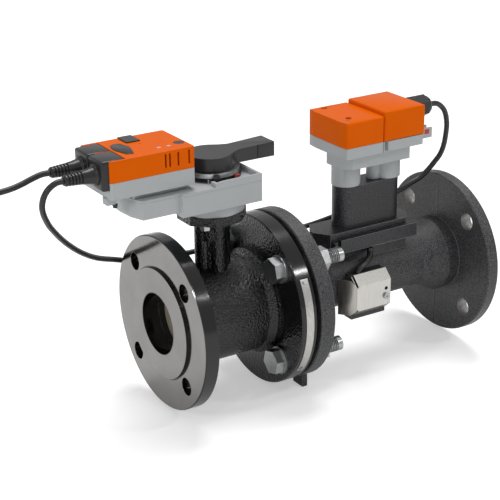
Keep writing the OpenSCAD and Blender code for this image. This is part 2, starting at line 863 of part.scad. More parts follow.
// Black block that holds the transducers behind the steel cover
module transducer_block() {
  color("#242426") difference() {
    translate([cover_x + cover_sheet + seat_gap, 0, 0]) rotate([90, 0, 90])
      linear_extrude(cover_w - cover_sheet - seat_gap) polygon([
        [-block_front_y, cover_front_z - cover_sheet],
        [-block_front_y + cover_bevel, cover_top_z - cover_sheet],
        [-block_inner_y, cover_top_z - cover_sheet], [-block_inner_y, block_low_z + cover_bevel / 2],
        [-block_inner_y - cover_bevel / 2, block_low_z],
        [-cover_y + cover_bevel + seat_gap, block_low_z],
        [-cover_y + cover_bevel + seat_gap, cover_low_z + 2 * cover_sheet],
        [-block_front_y, cover_front_low_z]
      ]);
    rod_x(cover_x - cut, cover_w + 2 * cut, pipe_r + seat_gap);
    for (t = transducer_places()) translate(t) rotate([90, 0, 0])
      cylinder(h = block_inner_y, d = transducer_d + 2 * seat_gap);
    at_cover_screws() translate([0, 0, -cover_bevel])
      cylinder(h = cover_bevel + cut, d = cover_screw_d + 2 * run_gap);
  }
}

module transducers() {
  color("#a9a497") for (t = transducer_places()) translate(t) rotate([90, 0, 0])
    cylinder(h = block_inner_y - seat_gap, d = transducer_d);
}

// Holes of the steel cover, lower (-1) and upper (1), their axes along -Y out of its front
module at_cover_screws(last = 1) {
  for (z = [-1 : 2 : last]) translate([cover_x + cover_w - cover_screw_inset, -cover_y + cover_sheet,
      (cover_front_z + cover_front_low_z) / 2 + z * cover_screw_pitch / 2]) rotate([90, 0, 0]) children();
}

// Bent sheet: front face, two bevels and the eight-sided end, open along two slots
module steel_cover() {
  color(steel) {
    difference() {
      translate([cover_x + cover_sheet + slot_w, 0, 0]) rotate([90, 0, 90])
        linear_extrude(cover_w - cover_sheet - slot_w) polygon(concat(cover_section(0), cover_inside()));
      at_cover_screws() translate([0, 0, -cut])
        cylinder(h = cover_sheet + 2 * cut, d = cover_screw_d + 2 * seat_gap);
    }
    difference() {
      translate([cover_x, 0, 0]) rotate([90, 0, 90]) linear_extrude(cover_sheet) polygon([
      [-cover_y, cover_front_z - slot_w], [-cover_y + cover_bevel, cover_top_z - slot_w],
      [-cover_side_y - cover_bevel / 2, cover_top_z - slot_w], [-cover_side_y, cover_top_z - cover_bevel / 2],
      [-cover_side_y, cover_low_z + cover_bevel / 2], [-cover_side_y - cover_bevel / 2, cover_low_z + slot_w],
      [-cover_y + cover_bevel, cover_low_z + slot_w], [-cover_y, cover_front_low_z + slot_w]
      ]);
      rod_x(cover_x - cut, cover_w, pipe_r + seat_gap);
    }
    translate([cover_x, -cover_y, cover_front_low_z + slot_w])
      cube([cover_sheet + slot_w + cut, cover_sheet, cover_front_z - cover_front_low_z - 2 * slot_w]);
  }
}

// Outer line of the cover's wrap across the pipe axis, from the top down, and its inner line back up
function cover_section(t) = [
  [-cover_y + cover_bevel, cover_top_z - t], [-cover_y + t, cover_front_z - t / 3],
  [-cover_y + t, cover_front_low_z + t / 3], [-cover_y + cover_bevel, cover_low_z + t]
];
function cover_inside() = [for (i = [3 : -1 : 0]) cover_section(cover_sheet)[i]];

// Domed screw in the lower hole; the upper hole is open
module cover_screw() {
  head_h = cover_screw_d / 2;
  color(zinc) at_cover_screws(-1) {
    translate([0, 0, cover_sheet + seat_gap]) difference() {
      cylinder(h = head_h, d = cover_screw_d * dome_share);
      translate([0, 0, head_h / 2]) cylinder(h = cover_screw_d, d = cover_screw_d / 2, $fn = 6);
    }
    translate([0, 0, -cover_bevel / 2])
      cylinder(h = cover_bevel / 2 + cover_sheet + 2 * seat_gap, d = cover_screw_d);
  }
}

// Cable from the bar down into the transducer block
module pocket_cable() {
  color("#161617") sweep([for (p = pocket_route) p], pocket_cable_d, 10);
}

module sensor_pillar() {
  color("#29292b") translate([pillar_x, 0, saddle_z + seat_gap])
    stadium(pillar_r, pillar_pitch, pillar_z - saddle_z - seat_gap);
}

// Plan of one grey box of the head: three facets on each end face
module box_plan(x, len, w, inset = 0) {
  l = x + inset;
  r = x + len - inset;
  h = w / 2 - inset;
  f = box_facet - inset / 2;
  polygon([
    [l, -h + f], [l + box_setback, -h + edge], [l + box_setback + edge, -h],
    [r - box_setback - edge, -h], [r - box_setback, -h + edge], [r, -h + f],
    [r, h - f], [r - box_setback, h - edge], [r - box_setback - edge, h],
    [l + box_setback + edge, h], [l + box_setback, h - edge], [l, h - f]
  ]);
}

// The bridge between the two boxes, behind the groove
module link_plan(inset = 0) {
  translate([low_box_x + low_box_len - wall * 2, -high_box_w / 2 + link_inset + inset])
    square([high_box_x - low_box_x - low_box_len + 4 * wall, high_box_w - 2 * link_inset - 2 * inset]);
}

// Grey lower part of the head: two posts, the step and two open boxes
module electronics_housing() {
  step_z = cap_seam_z - step_box_t;
  color(plastic_grey) {
    electronics_shell(step_z);
    for (p = cap_screw_places()) let (floor = (p[0] > high_box_x ? housing_z : step_z) + wall / 2)
      translate([p[0], p[1], floor]) difference() {
        cylinder(h = cap_seam_z - floor - high_seam_drop, d = screw_well_d + wall);
        translate([0, 0, wall]) cylinder(h = cap_seam_z, d = cap_screw_d);
      }
  }
}

// The shell without the bosses for the cap screws
module electronics_shell(step_z) {
  difference() {
    union() {
      for (x = [post_x, post_x + post_pitch]) translate([x, 0, pillar_z + seat_gap])
        cylinder(h = housing_z - pillar_z - seat_gap, r = post_r);
      translate([post_boss_x, 0, pillar_z + seat_gap])
        cylinder(h = housing_z - pillar_z - seat_gap, r = post_boss_r);
      translate([0, 0, housing_z]) linear_extrude(step_z - housing_z) polygon([
        [step_x, -step_w / 2 + step_chamfer], [step_x + step_chamfer, -step_w / 2],
        [step_x + step_len, -step_w / 2], [step_x + step_len, step_w / 2],
        [step_x + step_chamfer, step_w / 2], [step_x, step_w / 2 - step_chamfer]
      ]);
      translate([0, 0, step_z]) linear_extrude(step_box_t) box_plan(low_box_x, low_box_len, low_box_w);
      translate([0, 0, step_z]) linear_extrude(step_box_t - high_seam_drop)
        box_plan(high_box_x, high_box_len, high_box_w);
      translate([0, 0, step_z]) linear_extrude(step_box_t - high_seam_drop) link_plan();
    }
    translate([0, 0, step_z + wall]) linear_extrude(step_box_t) {
      box_plan(low_box_x, low_box_len, low_box_w, wall);
      box_plan(high_box_x, high_box_len, high_box_w, wall);
      link_plan(wall);
    }
    translate([post_x, -step_w / 2 + wall, housing_z + wall]) cube([post_pitch, step_w - 2 * wall, step_z]);
  }
}

// One orange cover: a shell with a closed top, open below
module cap_shell(x, len, w, seam, top) {
  difference() {
    translate([0, 0, seam]) linear_extrude(top - seam) box_plan(x, len, w);
    translate([0, 0, seam - cut]) linear_extrude(top - seam - wall + cut) box_plan(x, len, w, wall);
    for (s = [-1, 1]) translate([x + len / 2, s * w / 2, top]) rotate([45, 0, 0])
      cube([len + 2 * cut, edge * sqrt(2), edge * sqrt(2)], center = true);
  }
}

// Screws that hold the lower cover, sunk in wells in its top
function cap_screw_places() = [
  [low_box_x + well_in_x, -well_near_y], [low_box_x + well_in_x, well_far_y],
  [high_box_x + well_in_x, well_far_y - low_box_w / 3]
];

// Tube under each well, down to the seam
module screw_towers(places, seam, top) {
  for (p = places) translate([p[0], p[1], seam]) cylinder(h = top - seam, d = screw_well_d + wall);
}

module screw_wells(places, seam, top) {
  for (p = places) translate([p[0], p[1], 0]) {
    translate([0, 0, seam + wall]) cylinder(h = top - seam, d = screw_well_d);
    translate([0, 0, seam - cut]) cylinder(h = top - seam, d = cap_screw_d + 2 * seat_gap);
  }
}

module low_cap() {
  seam = cap_seam_z + seat_gap;
  top = seam + low_cap_h;
  places = [cap_screw_places()[0], cap_screw_places()[1]];
  color(plastic_orange) difference() {
    union() {
      cap_shell(low_box_x, low_box_len, low_box_w, seam, top);
      screw_towers(places, seam, top - edge);
    }
    screw_wells(places, seam, top + cut);
    translate([low_box_x + low_box_len - 2 * wall, -high_box_w / 2 + link_inset + wall, seam - cut])
      cube([4 * wall, high_box_w - 2 * link_inset - 2 * wall, low_cap_h - 2 * wall]);
  }
}

module high_cap() {
  seam = cap_seam_z - high_seam_drop + seat_gap;
  top = seam + high_cap_h;
  places = [cap_screw_places()[2]];
  color(plastic_orange) difference() {
    union() {
      cap_shell(high_box_x, high_box_len, high_box_w, seam, top);
      screw_towers(places, seam, top - edge);
      link_h = low_cap_h - wall;
      difference() {
        translate([low_box_x + low_box_len + pass_gap, -high_box_w / 2 + link_inset, seam])
          cube([high_box_x - low_box_x - low_box_len, high_box_w - 2 * link_inset, link_h]);
        translate([low_box_x + low_box_len, -high_box_w / 2 + link_inset + wall, seam - cut])
          cube([high_box_x - low_box_x, high_box_w - 2 * link_inset - 2 * wall, link_h - wall]);
      }
    }
    screw_wells(places, seam, top + cut);
    translate([high_box_x - cut, -high_box_w / 2 + link_inset + wall, seam - cut])
      cube([wall + 2 * cut, high_box_w - 2 * link_inset - 2 * wall, low_cap_h - 3 * wall]);
    translate([high_box_x + high_box_len, 0, gland_z]) rotate([0, 90, 0])
      cylinder(h = 4 * wall, r = gland_neck_r + run_gap, center = true);
  }
}

module cap_screws() {
  color(zinc) for (p = cap_screw_places())
    translate([p[0], p[1], cap_seam_z + wall + 2 * seat_gap - (p[0] > high_box_x ? high_seam_drop : 0)]) {
    difference() {
      cylinder(h = cap_screw_d * screw_head_share, d = cap_screw_d * 2);
      translate([0, 0, cap_screw_d * socket_floor_share])
        cylinder(h = cap_screw_d, d = cap_screw_d * socket_share, $fn = 6);
    }
    translate([0, 0, -cap_screw_len])
      cylinder(h = cap_screw_len + cap_screw_d * screw_lap_share, d = cap_screw_d - 2 * run_gap);
  }
}

// Circuit board that lies on the floor of both boxes
module electronics_board() {
  z = cap_seam_z - step_box_t + wall + seat_gap;
  color("#2f6b45") difference() {
    translate([board_left_x, -electronics_board_w / 2, z]) {
      cube([electronics_board_len, electronics_board_w, board_t]);
      for (i = [1 : 3]) translate([electronics_board_len * i / 4, electronics_board_w * chip_share, 0])
        cube([electronics_board_len / 8, electronics_board_w / 4, board_t * 3]);
    }
    for (p = cap_screw_places()) translate([p[0], p[1], z - cut])
      cylinder(h = board_t * 4, d = screw_well_d + wall + 2 * seat_gap);
  }
}

// Threaded gland body in the end wall of the higher cover
module cable_gland() {
  place = [high_box_x + high_box_len + seat_gap, 0, gland_z];
  color(plastic_black) translate(place) rotate([0, 90, 0]) difference() {
    union() {
      hex(gland_flats, gland_len);
      translate([0, 0, -wall * 2]) cylinder(h = wall * 2 + gland_len + gland_nut_len / 2, r = gland_neck_r);
    }
    translate([0, 0, -wall * 3])
      cylinder(h = gland_len + gland_nut_len + wall * 3, d = cable_d + 2 * sleeve_gap);
  }
}

module gland_nut() {
  color(plastic_black) translate([high_box_x + high_box_len + gland_len + 2 * seat_gap, 0, gland_z])
    rotate([0, 90, 0]) difference() {
      union() {
        hex(gland_flats, gland_nut_len);
        translate([0, 0, gland_nut_len]) rotate_extrude() polygon(concat(
          [[0, 0]], arc([gland_flats / 2 - dome_len, 0], dome_len, 0, 90, 4), [[0, dome_len]]));
      }
      translate([0, 0, -cut])
        cylinder(h = gland_nut_len / 2 + cut + 2 * seat_gap, r = gland_neck_r + run_gap);
    }
}

// Grey tab with a red insert under the gland
module release_tab() {
  place = [high_box_x + high_box_len + seat_gap, tab_y - tab_w / 2, tab_z];
  color(plastic_grey) translate(place) difference() {
    cube([tab_len, tab_w, tab_h]);
    translate([tab_len / 3, wall, tab_h / 2]) cube([tab_len, tab_w - 2 * wall, tab_h]);
  }
}

// Plan of the arm under the drive housing, set in by a wall
module arm_plan(inset = 0) {
  h = arm_w / 2 - inset;
  polygon([
    [arm_left_x + inset, 0], [arm_bend_x + inset, -arm_bend_y + inset / 2], [arm_corner_x + inset / 2, -h],
    [base_right_x / 2, -h], [base_right_x / 2, h], [arm_corner_x + inset / 2, h],
    [arm_bend_x + inset, arm_bend_y - inset / 2]
  ]);
}

// Plan of the gear housing: square near corner, round about the stem on the far side
module base_plan(inset = 0) {
  r = base_round_r - inset;
  polygon(concat(
    [[base_x + inset, base_near_y + inset], [base_right_x - inset, base_near_y + inset]],
    arc([stem_x, 0], r, 0, 90, 10),
    [[base_x + inset, r]]
  ));
}

// Lower shell of the gear housing with the round foot that stands on the pad
module gear_housing() {
  color(plastic_grey) difference() {
    union() {
      translate([gear_shaft_x, 0, base_z])
        cylinder(h = out_gear_z - base_z - 2 * seat_gap, r = 2 * gear_pin_r);
      difference() {
        gear_housing_form();
        translate([0, 0, arm_z + wall]) linear_extrude(base_top_z) arm_plan(wall);
        translate([0, 0, base_z + wall]) linear_extrude(base_top_z) base_plan(wall);
      }
    }
    translate([gear_shaft_x, 0, base_z + wall]) cylinder(h = out_gear_z, r = gear_pin_r + run_gap);
    translate([stem_x, 0, pad_top_z - cut]) cylinder(h = base_z, r = bush_r + seat_gap);
    at_pad_bolts() translate([0, 0, pad_top_z - cut])
      cylinder(h = pad_bolt_grip + cut + seat_gap, r = pad_bolt_r + seat_gap);
  }
}

// Outside of the housing: arm, gear case and round foot
module gear_housing_form() {
  translate([0, 0, arm_z]) linear_extrude(cover_seam_z - arm_z) arm_plan();
  translate([0, 0, base_z]) linear_extrude(cover_seam_z - base_z) base_plan();
  translate([stem_x, 0, pad_top_z]) cylinder(h = base_z + wall - pad_top_z, r = foot_r);
}

// Height profile of the cover's rim, seen from the near side
module rim_side() {
  rotate([90, 0, 0]) linear_extrude(4 * arm_w, center = true) polygon([
    [arm_left_x * 2, cover_seam_z], [base_right_x * 2, cover_seam_z], [base_right_x * 2, rim_z],
    [rim_slope_x, rim_z], [step_up_x, base_top_z + step_up], [step_up_x, base_top_z],
    [arm_left_x * 2, base_top_z]
  ]);
}

module gear_cover() {
  color(plastic_grey) difference() {
    intersection() {
      translate([0, 0, cover_seam_z + seat_gap]) linear_extrude(rim_z - cover_seam_z) union() {
        arm_plan();
        base_plan();
      }
      rim_side();
    }
    translate([0, 0, recess_floor_z]) intersection() {
      linear_extrude(rim_z) base_plan(rim_w);
      translate([step_up_x + rim_w, -base_right_x, 0]) cube([base_right_x, 2 * base_right_x, rim_z]);
    }
    translate([stem_x, 0, cover_seam_z - cut]) cylinder(h = rim_z, r = hub_r + run_gap);
    translate([gear_shaft_x, 0, cover_seam_z - cut])
      cylinder(h = wall / 2 + cut + 2 * seat_gap, r = gear_pin_r + run_gap);
    translate([motor_x, 0, cover_seam_z - cut]) cylinder(h = rim_z, r = 2 * motor_shaft_r);
    translate([stem_x, 0, recess_floor_z]) cylinder(h = rim_z, r = scale_out_r + pass_gap, $fn = 96);
    for (s = [[stop_near_angle - 2 * stop_w, stop_near_out_r], [stop_angle - stop_w, stop_out_r]])
      translate([stem_x, 0, recess_floor_z]) rotate([0, 0, s[0]]) rotate_extrude(angle = slot_sweep, $fn = 96)
        translate([stop_in_r - run_gap, 0]) square([s[1] - stop_in_r + pass_gap, rim_z]);
  }
}

module hub_bush() {
  color(beige) translate([stem_x, 0, pad_top_z + cut]) difference() {
    cylinder(h = base_z + wall - pad_top_z - cut, r = bush_r);
    translate([0, 0, -cut]) cylinder(h = base_z, r = hub_r + run_gap);
  }
}

// Hollow hub that clamps on the stem and carries gear, ring and lever
module drive_hub() {
  color(zinc) translate([stem_x, 0, 0]) difference() {
    union() {
      translate([0, 0, hub_z]) cylinder(h = hub_top_z - hub_z, r = hub_r);
      translate([0, 0, hub_top_z]) cylinder(h = spigot_len, r = spigot_r);
    }
    translate([0, 0, hub_z - cut])
      cylinder(h = stem_top_z + seat_gap - hub_z + cut, r = stem_r + seat_gap / 2);
  }
}

// Involute function and the angle of a tooth flank at radius r
function involute(a) = tan(a) * 180 / PI - a;
function flank(z, m, r) = 90 / z - tooth_slack / (m * z / 2) * 180 / PI + involute(pressure_angle)
  - involute(acos(min(1, m * z / 2 * cos(pressure_angle) / r)));

// Gear outline with a tooth centred on +X
module gear_2d(z, m) {
  pitch = m * z / 2;
  tip = pitch + tip_share * m;
  root = pitch - root_share * m;
  low = max(root, pitch * cos(pressure_angle));
  mid = low + (pitch - low) / 4;
  polygon([for (i = [0 : z - 1]) let (a = 360 / z * i)
    each [for (p = [[root, -flank(z, m, low)], [mid, -flank(z, m, mid)], [pitch, -flank(z, m, pitch)],
                    [tip, -flank(z, m, tip)], [tip, flank(z, m, tip)], [pitch, flank(z, m, pitch)],
                    [mid, flank(z, m, mid)], [root, flank(z, m, low)]])
      p[0] * [cos(a + p[1]), sin(a + p[1])]]]);
}

module output_gear() {
  color("#d9d4c4") translate([stem_x, 0, out_gear_z]) difference() {
    linear_extrude(gear_t) gear_2d(out_teeth, out_module);
    translate([0, 0, -cut]) cylinder(h = gear_t + 2 * cut, r = hub_r + seat_gap / 2);
  }
}

module gear_shaft() {
  color(steel) translate([gear_shaft_x, 0, base_z + wall + seat_gap])
    cylinder(h = cover_seam_z - base_z - wall / 2, r = gear_pin_r);
}

// Small and large wheel of the gear shaft, made as one, half a tooth on from the output gear
module gear_wheels() {
  color("#d9d4c4") translate([gear_shaft_x, 0, out_gear_z]) difference() {
    union() {
      rotate([0, 0, 180 / pinion_teeth]) linear_extrude(wheel_z - out_gear_z)
        gear_2d(pinion_teeth, out_module);
      translate([0, 0, wheel_z - out_gear_z]) linear_extrude(wheel_t) gear_2d(wheel_teeth, motor_module);
    }
    translate([0, 0, -cut]) cylinder(h = wheel_z + wheel_t, r = gear_pin_r + seat_gap / 2);
  }
}

module motor() {
  color("#8d9295") translate([motor_x, 0, motor_z]) difference() {
    cylinder(h = motor_h, r = motor_r);
    translate([0, 0, -cut]) cylinder(h = motor_h / 2 + cut, r = motor_shaft_r + run_gap);
  }
}

module motor_pinion() {
  color(steel) translate([motor_x, 0, wheel_z]) {
    rotate([0, 0, 180 / motor_teeth]) linear_extrude(wheel_t) gear_2d(motor_teeth, motor_module);
    cylinder(h = motor_z + motor_h / 2 - wheel_z - seat_gap, r = motor_shaft_r);
  }
}

module scale_ring() {
  color("#7c8083") translate([stem_x, 0, recess_floor_z]) difference() {
    cylinder(h = scale_t, r = scale_out_r, $fn = 96);
    translate([0, 0, -cut]) cylinder(h = scale_t + 2 * cut, r = scale_in_r);
  }
}

// Small red wedge that stands on the rim beside the ring
module scale_marker() {
  color("#b5523f") translate([stem_x, 0, 0]) rotate([0, 0, marker_angle]) {
    translate([marker_r, 0, marker_z]) linear_extrude(marker_t)
      polygon([[0, -marker_w / 2], [marker_len, 0], [0, marker_w / 2]]);
    translate([marker_r - edge / 2, -marker_w / 4, recess_floor_z + scale_t])
      cube([marker_len / 2, marker_w / 2, marker_z - recess_floor_z - scale_t + cut / 2]);
  }
}

// Bright ring under the lever with the tab that meets the end stops
module metal_ring() {
  color(steel) translate([stem_x, 0, 0]) {
    difference() {
      translate([0, 0, ring_z]) cylinder(h = ring_t, d = ring_d, $fn = 96);
      translate([0, 0, ring_z - cut]) cylinder(h = ring_t + 2 * cut, r = hub_r + seat_gap / 2);
    }
    rotate([0, 0, tab_angle]) translate([stop_tab_in_r, -stop_tab_w / 2, stop_low_z + seat_gap])
      cube([stop_tab_out_r - stop_tab_in_r, stop_tab_w, ring_z - stop_low_z - seat_gap + cut / 2]);
  }
}

// Black lever: round hub, waist and a flat arm that rises towards its end
module hand_lever() {
  hub = lever_hub_d / 2;
  top = lever_z + lever_h;
  color(plastic_black) translate([stem_x, 0, 0]) difference() {
    union() {
      translate([0, 0, lever_z]) cylinder(h = lever_h, r = hub, $fn = 96);
      difference() {
        translate([0, 0, lever_z + lever_arm_low]) linear_extrude(lever_h - lever_arm_low + lever_rise)
          polygon(concat(
            [for (p = hub_shares) [p[0] * hub, -p[1] * hub]],
            [[lever_waist, -lever_neck_w / 2], [lever_reach, -lever_end_w / 2],
             [lever_reach, lever_end_w / 2], [lever_waist, lever_neck_w / 2]],
            [for (i = [len(hub_shares) - 1 : -1 : 0]) hub_shares[i] * hub]
          ));
        translate([0, 0, top]) rotate([0, -atan(lever_rise / lever_reach), 0])
          translate([-lever_reach, -lever_reach, 0]) cube([3 * lever_reach, 2 * lever_reach, lever_h]);
      }
    }
    translate([0, 0, lever_z - cut]) cylinder(h = spigot_len + cut + seat_gap, r = spigot_r + seat_gap / 2);
    translate([lever_waist, -lever_neck_w / 2 + wall, lever_z - cut])
      cube([lever_reach - lever_waist - wall, lever_neck_w - 2 * wall, lever_h - 2 * wall + cut]);
    translate([lever_reach - lever_end_w * 0.8, -lever_end_w, lever_z - cut])
      cube([edge / 2, lever_end_w - lever_neck_w / 2 + edge / 2, 3 * lever_h]);
  }
}

// One clamp of the end-stop slot, with its nose under the ring
module end_stop(angle, outer, side) {
  color("#3a3a3c") translate([stem_x, 0, 0]) rotate([0, 0, angle]) {
    translate([stop_in_r, (side * (stop_w - stop_nose_w) - stop_nose_w) / 2, stop_low_z])
      cube([outer - stop_in_r, stop_nose_w, ring_z - stop_low_z - pass_gap]);
    translate([ring_d / 2 + pass_gap, -stop_w / 2, stop_low_z])
      cube([outer - ring_d / 2 - pass_gap, stop_w, stop_top_z - stop_low_z]);
  }
  shelf = outer - ring_d / 2 - pass_gap;
  color(zinc) translate([stem_x, 0, 0]) rotate([0, 0, angle])
    translate([outer - shelf / 2, 0, stop_top_z - cut / 2])
    cylinder(h = stop_nut_t + cut / 2, r = shelf * stop_nut_share, $fn = 6);
}

module near_end_stop() {
  end_stop(stop_near_angle, stop_near_out_r, -1);
}

module right_end_stop() {
  end_stop(stop_angle, stop_out_r, 1);
}

// Grey lower shell of the drive housing on its narrow pedestal
module drive_housing() {
  color(plastic_grey) difference() {
    union() {
      translate([box_x, -box_w / 2, box_z]) round_block([box_len, box_w, box_seam_z - box_z], 2 * edge);
      translate([box_right_x - pedestal_len - pedestal_inset, 0, base_top_z + seat_gap])
        translate([0, pedestal_inset - box_w / 2, 0])
        cube([pedestal_len, box_w - 2 * pedestal_inset, box_z - base_top_z]);
    }
    translate([box_x + wall, -box_w / 2 + wall, box_z + wall])
      round_block([box_len - 2 * wall, box_w - 2 * wall, box_seam_z], edge);
    translate([motor_x, 0, base_top_z - cut]) cylinder(h = box_z, r = 2 * motor_shaft_r);
    for (s = [-1, 1]) translate([box_x - cut, s * plug_y - plug_w / 2 - seat_gap, plug_z - seat_gap])
      cube([plug_x + plug_len - box_x + cut + seat_gap, plug_w + 2 * seat_gap, plug_h + 2 * cut]);
  }
}

// Orange upper shell with its vent slots, button hole, windows and plug recesses
module drive_cap() {
  z = box_seam_z + seat_gap;
  color(plastic_orange) difference() {
    translate([box_x, -box_w / 2, z]) round_block([box_len, box_w, box_top_z - z], 2 * edge);
    translate([box_x + wall, -box_w / 2 + wall, z - cut])
      round_block([box_len - 2 * wall, box_w - 2 * wall, box_top_z - z - wall + cut], edge);
    for (s = [-1, 1]) {
      translate([box_x - cut, s * plug_y - plug_w / 2 - seat_gap, z - cut])
        cube([plug_x + plug_len - box_x + cut + seat_gap, plug_w + 2 * seat_gap, plug_h]);
      for (v = vent_xs_shares)
        translate([box_x + v * box_len, s * box_w / 2 - 2 * wall, box_top_z - vent_h - edge])
        cube([vent_w, 4 * wall, vent_h - edge]);
    }
    translate([button_x, button_y, z]) cylinder(h = box_top_z, r = button_r + run_gap);
    for (i = [0, 1]) translate([signal_x + i * signal_pitch, signal_y, z])
      cylinder(h = box_top_z, d = signal_d + 2 * run_gap);
    translate([socket_x, socket_y, z]) cube([socket_len, socket_w + cut, box_top_z]);
  }
}

module drive_board() {
  color("#2f6b45") difference() {
    union() {
      translate([board_x, -board_w / 2, board_z]) cube([board_len, board_w, board_t]);
      for (i = [0, 1]) translate([signal_x + i * signal_pitch, signal_y, board_z + board_t - cut / 2])
        cylinder(h = switch_top_z - board_z - board_t + cut / 2, d = signal_d);
      for (p = [-1, 1])
        translate([board_x + board_len * stand_x_share, p * board_w * stand_y_share, box_z + wall + seat_gap])
        cylinder(h = board_z - box_z - wall, r = wall);
    }
    translate([button_x, button_y, board_z - cut])
      cylinder(h = board_t + 2 * cut, r = button_stem_r + run_gap);
  }
}

// Black button that unlocks the gears while it is held down
module override_button() {
  color(plastic_black) translate([button_x, button_y, 0]) {
    translate([0, 0, box_top_z - wall]) cylinder(h = wall - seat_gap, r = button_r);
    translate([0, 0, board_z - button_travel / 2])
      cylinder(h = box_top_z - board_z - wall + button_travel, r = button_stem_r);
  }
}

module button_spring() {
  n = 12;
  base = board_z + board_t + spring_wire / 2;
  top = box_top_z - wall - spring_wire / 2;
  steps = spring_turns * n;
  route = [for (i = [0 : steps]) let (a = 360 * i / n)
    [spring_r * cos(a), spring_r * sin(a), base + (top - base) * i / steps]];
  color(steel) translate([button_x, button_y, 0]) sweep(route, spring_wire, 6);
}

// A small button with its light, over a switch on the board
module signal_button(x) {
  color("#d9a48c") translate([x, signal_y, box_top_z - wall - signal_travel])
    cylinder(h = wall + signal_travel - seat_gap, d = signal_d);
}

module left_signal_button() {
  signal_button(signal_x);
}

module right_signal_button() {
  signal_button(signal_x + signal_pitch);
}

module socket_cover() {
  color(plastic_black) {
    translate([socket_x + seat_gap, socket_y + seat_gap, box_top_z - wall])
      cube([socket_len - 2 * seat_gap, box_w / 2 - socket_y - 2 * seat_gap, wall + edge]);
    translate([socket_x + seat_gap, box_w / 2 - wall, box_top_z - 4 * wall])
      cube([socket_len - 2 * seat_gap, wall + seat_gap, 4 * wall]);
  }
}

// Plug body, its round collar, the neck and the boot in one moulding
module plug(side) {
  color(plastic_black) {
    translate([plug_x, side * plug_y - plug_w / 2, plug_z]) round_block([plug_len, plug_w, plug_h], 2 * edge);
    translate([0, side * plug_y, plug_axis_z]) rotate([0, 90, 0]) rotate_extrude() polygon([
      [0, plug_x + cut], [collar_d / 2, plug_x + cut], [collar_d / 2, plug_x - collar_len],
      [boot_d / 2, plug_x - 2 * collar_len], [boot_tip_d / 2, boot_x], [0, boot_x]
    ]);
  }
}

module sensor_plug() {
  plug(-1);
}

module supply_plug() {
  plug(1);
}

// Tube along a list of points, its rings turned with the route
function unit(v) = v / norm(v);
function heading(p, i) = unit(p[min(i + 1, len(p) - 1)] - p[max(i - 1, 0)]);
function side_of(t, s) = unit(s - (s * t) * t);
function frames(p) = [for (i = 0, t = heading(p, 0), s = side_of(t, abs(t[2]) > 0.9 ? [1, 0, 0] : [0, 0, 1]);
  i < len(p); i = i + 1, t = i < len(p) ? heading(p, i) : t, s = side_of(t, s)) [t, s]];

module sweep(p, d, n) {
  f = frames(p);
  r = d / 2;
  last = len(p) - 1;
  points = [for (i = [0 : last], k = [0 : n - 1])
    p[i] + r * (cos(360 * k / n) * f[i][1] + sin(360 * k / n) * cross(f[i][0], f[i][1]))];
  skin = [for (i = [0 : last - 1], k = [0 : n - 1], h = [0, 1])
    h == 0 ? [i * n + k, (i + 1) * n + k, (i + 1) * n + (k + 1) % n]
           : [i * n + k, (i + 1) * n + (k + 1) % n, i * n + (k + 1) % n]];
  polyhedron(points, concat(skin,
    [[for (k = [0 : n - 1]) k]], [[for (k = [n - 1 : -1 : 0]) last * n + k]]), convexity = 8);
}

module sensor_cable() {
  color("#161617") sweep(sensor_route, cable_d, 10);
}

module supply_cable() {
  color("#161617") sweep(supply_route, cable_d, 10);
}

// Radius and height of the coil's centre line at a share of its turns
function coil_point(turn) =
  let (
    middle = coil_turns / 2,
    r = coil_r - coil_pitch * (middle - abs(turn - middle)),
    climb = min(1, max(0, (turn - middle + 0.25) * 2)),
    a = 90 + 360 * turn
  )
  [coil_centre[0] + r * cos(a), coil_centre[1] + r * sin(a), floor_z + cable_r + coil_pitch * climb];

module supply_coil() {
  n = coil_turns * coil_steps;
  path = concat(
    [coil_point(0) - [seat_gap, 0, 0], coil_point(0) - [cable_d, 0, 0]],
    [for (i = [3 : n]) coil_point(i / coil_steps)],
    [coil_point(coil_turns) + [cable_d, 0, 0]]
  );
  apart = [for (i = [0 : len(path) - 9], j = [i + 8 : len(path) - 1]) norm(path[i] - path[j])];
  echo("least gap between the coil's loops", min(apart) - cable_d);
  color("#161617") sweep(path, cable_d, coil_sides);
}

// Bare wires side by side at the cable's free end
module supply_wires() {
  end = coil_point(coil_turns) + [cable_d, 0, 0];
  color("#b5b3ae") for (i = [0 : wire_count - 1])
    translate(end) rotate([360 / wire_count * (i + 0.5), 0, 0]) translate([0, wire_d * wire_share, 0])
      rotate([0, 90, 0]) cylinder(h = wire_len, d = wire_d);
}

valve_body();
body_insert();
ball();
seat_rings();
characterising_disc();
stem();
stem_seals();
flange_gasket();
flange_bolts();
flange_washers();
flange_nuts();
pad_bolts();
label_strip();
label_rivets();
sensor_casting();
sensor_saddle();
cable_bar();
transducer_block();
transducers();
steel_cover();
cover_screw();
pocket_cable();
sensor_pillar();
electronics_housing();
electronics_board();
low_cap();
high_cap();
cap_screws();
cable_gland();
gland_nut();
release_tab();
gear_housing();
gear_cover();
hub_bush();
drive_hub();
output_gear();
scale_ring();
scale_marker();
metal_ring();
hand_lever();
near_end_stop();
right_end_stop();
gear_shaft();
gear_wheels();
motor();
motor_pinion();
drive_housing();
drive_cap();
drive_board();
override_button();
button_spring();
left_signal_button();
right_signal_button();
socket_cover();
sensor_plug();
supply_plug();
sensor_cable();
supply_cable();
supply_coil();
supply_wires();
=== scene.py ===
# Pressure independent control valve: flanged ball valve, flow sensor, rotary actuator and cables.
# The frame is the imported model. Its origin is the centre of the inlet face, +X runs with the flow
# and +Z up the valve's stem. Every size below is in metres.
from math import cos, pi, radians, sin
import bmesh
import bpy
from mathutils import Matrix, Vector


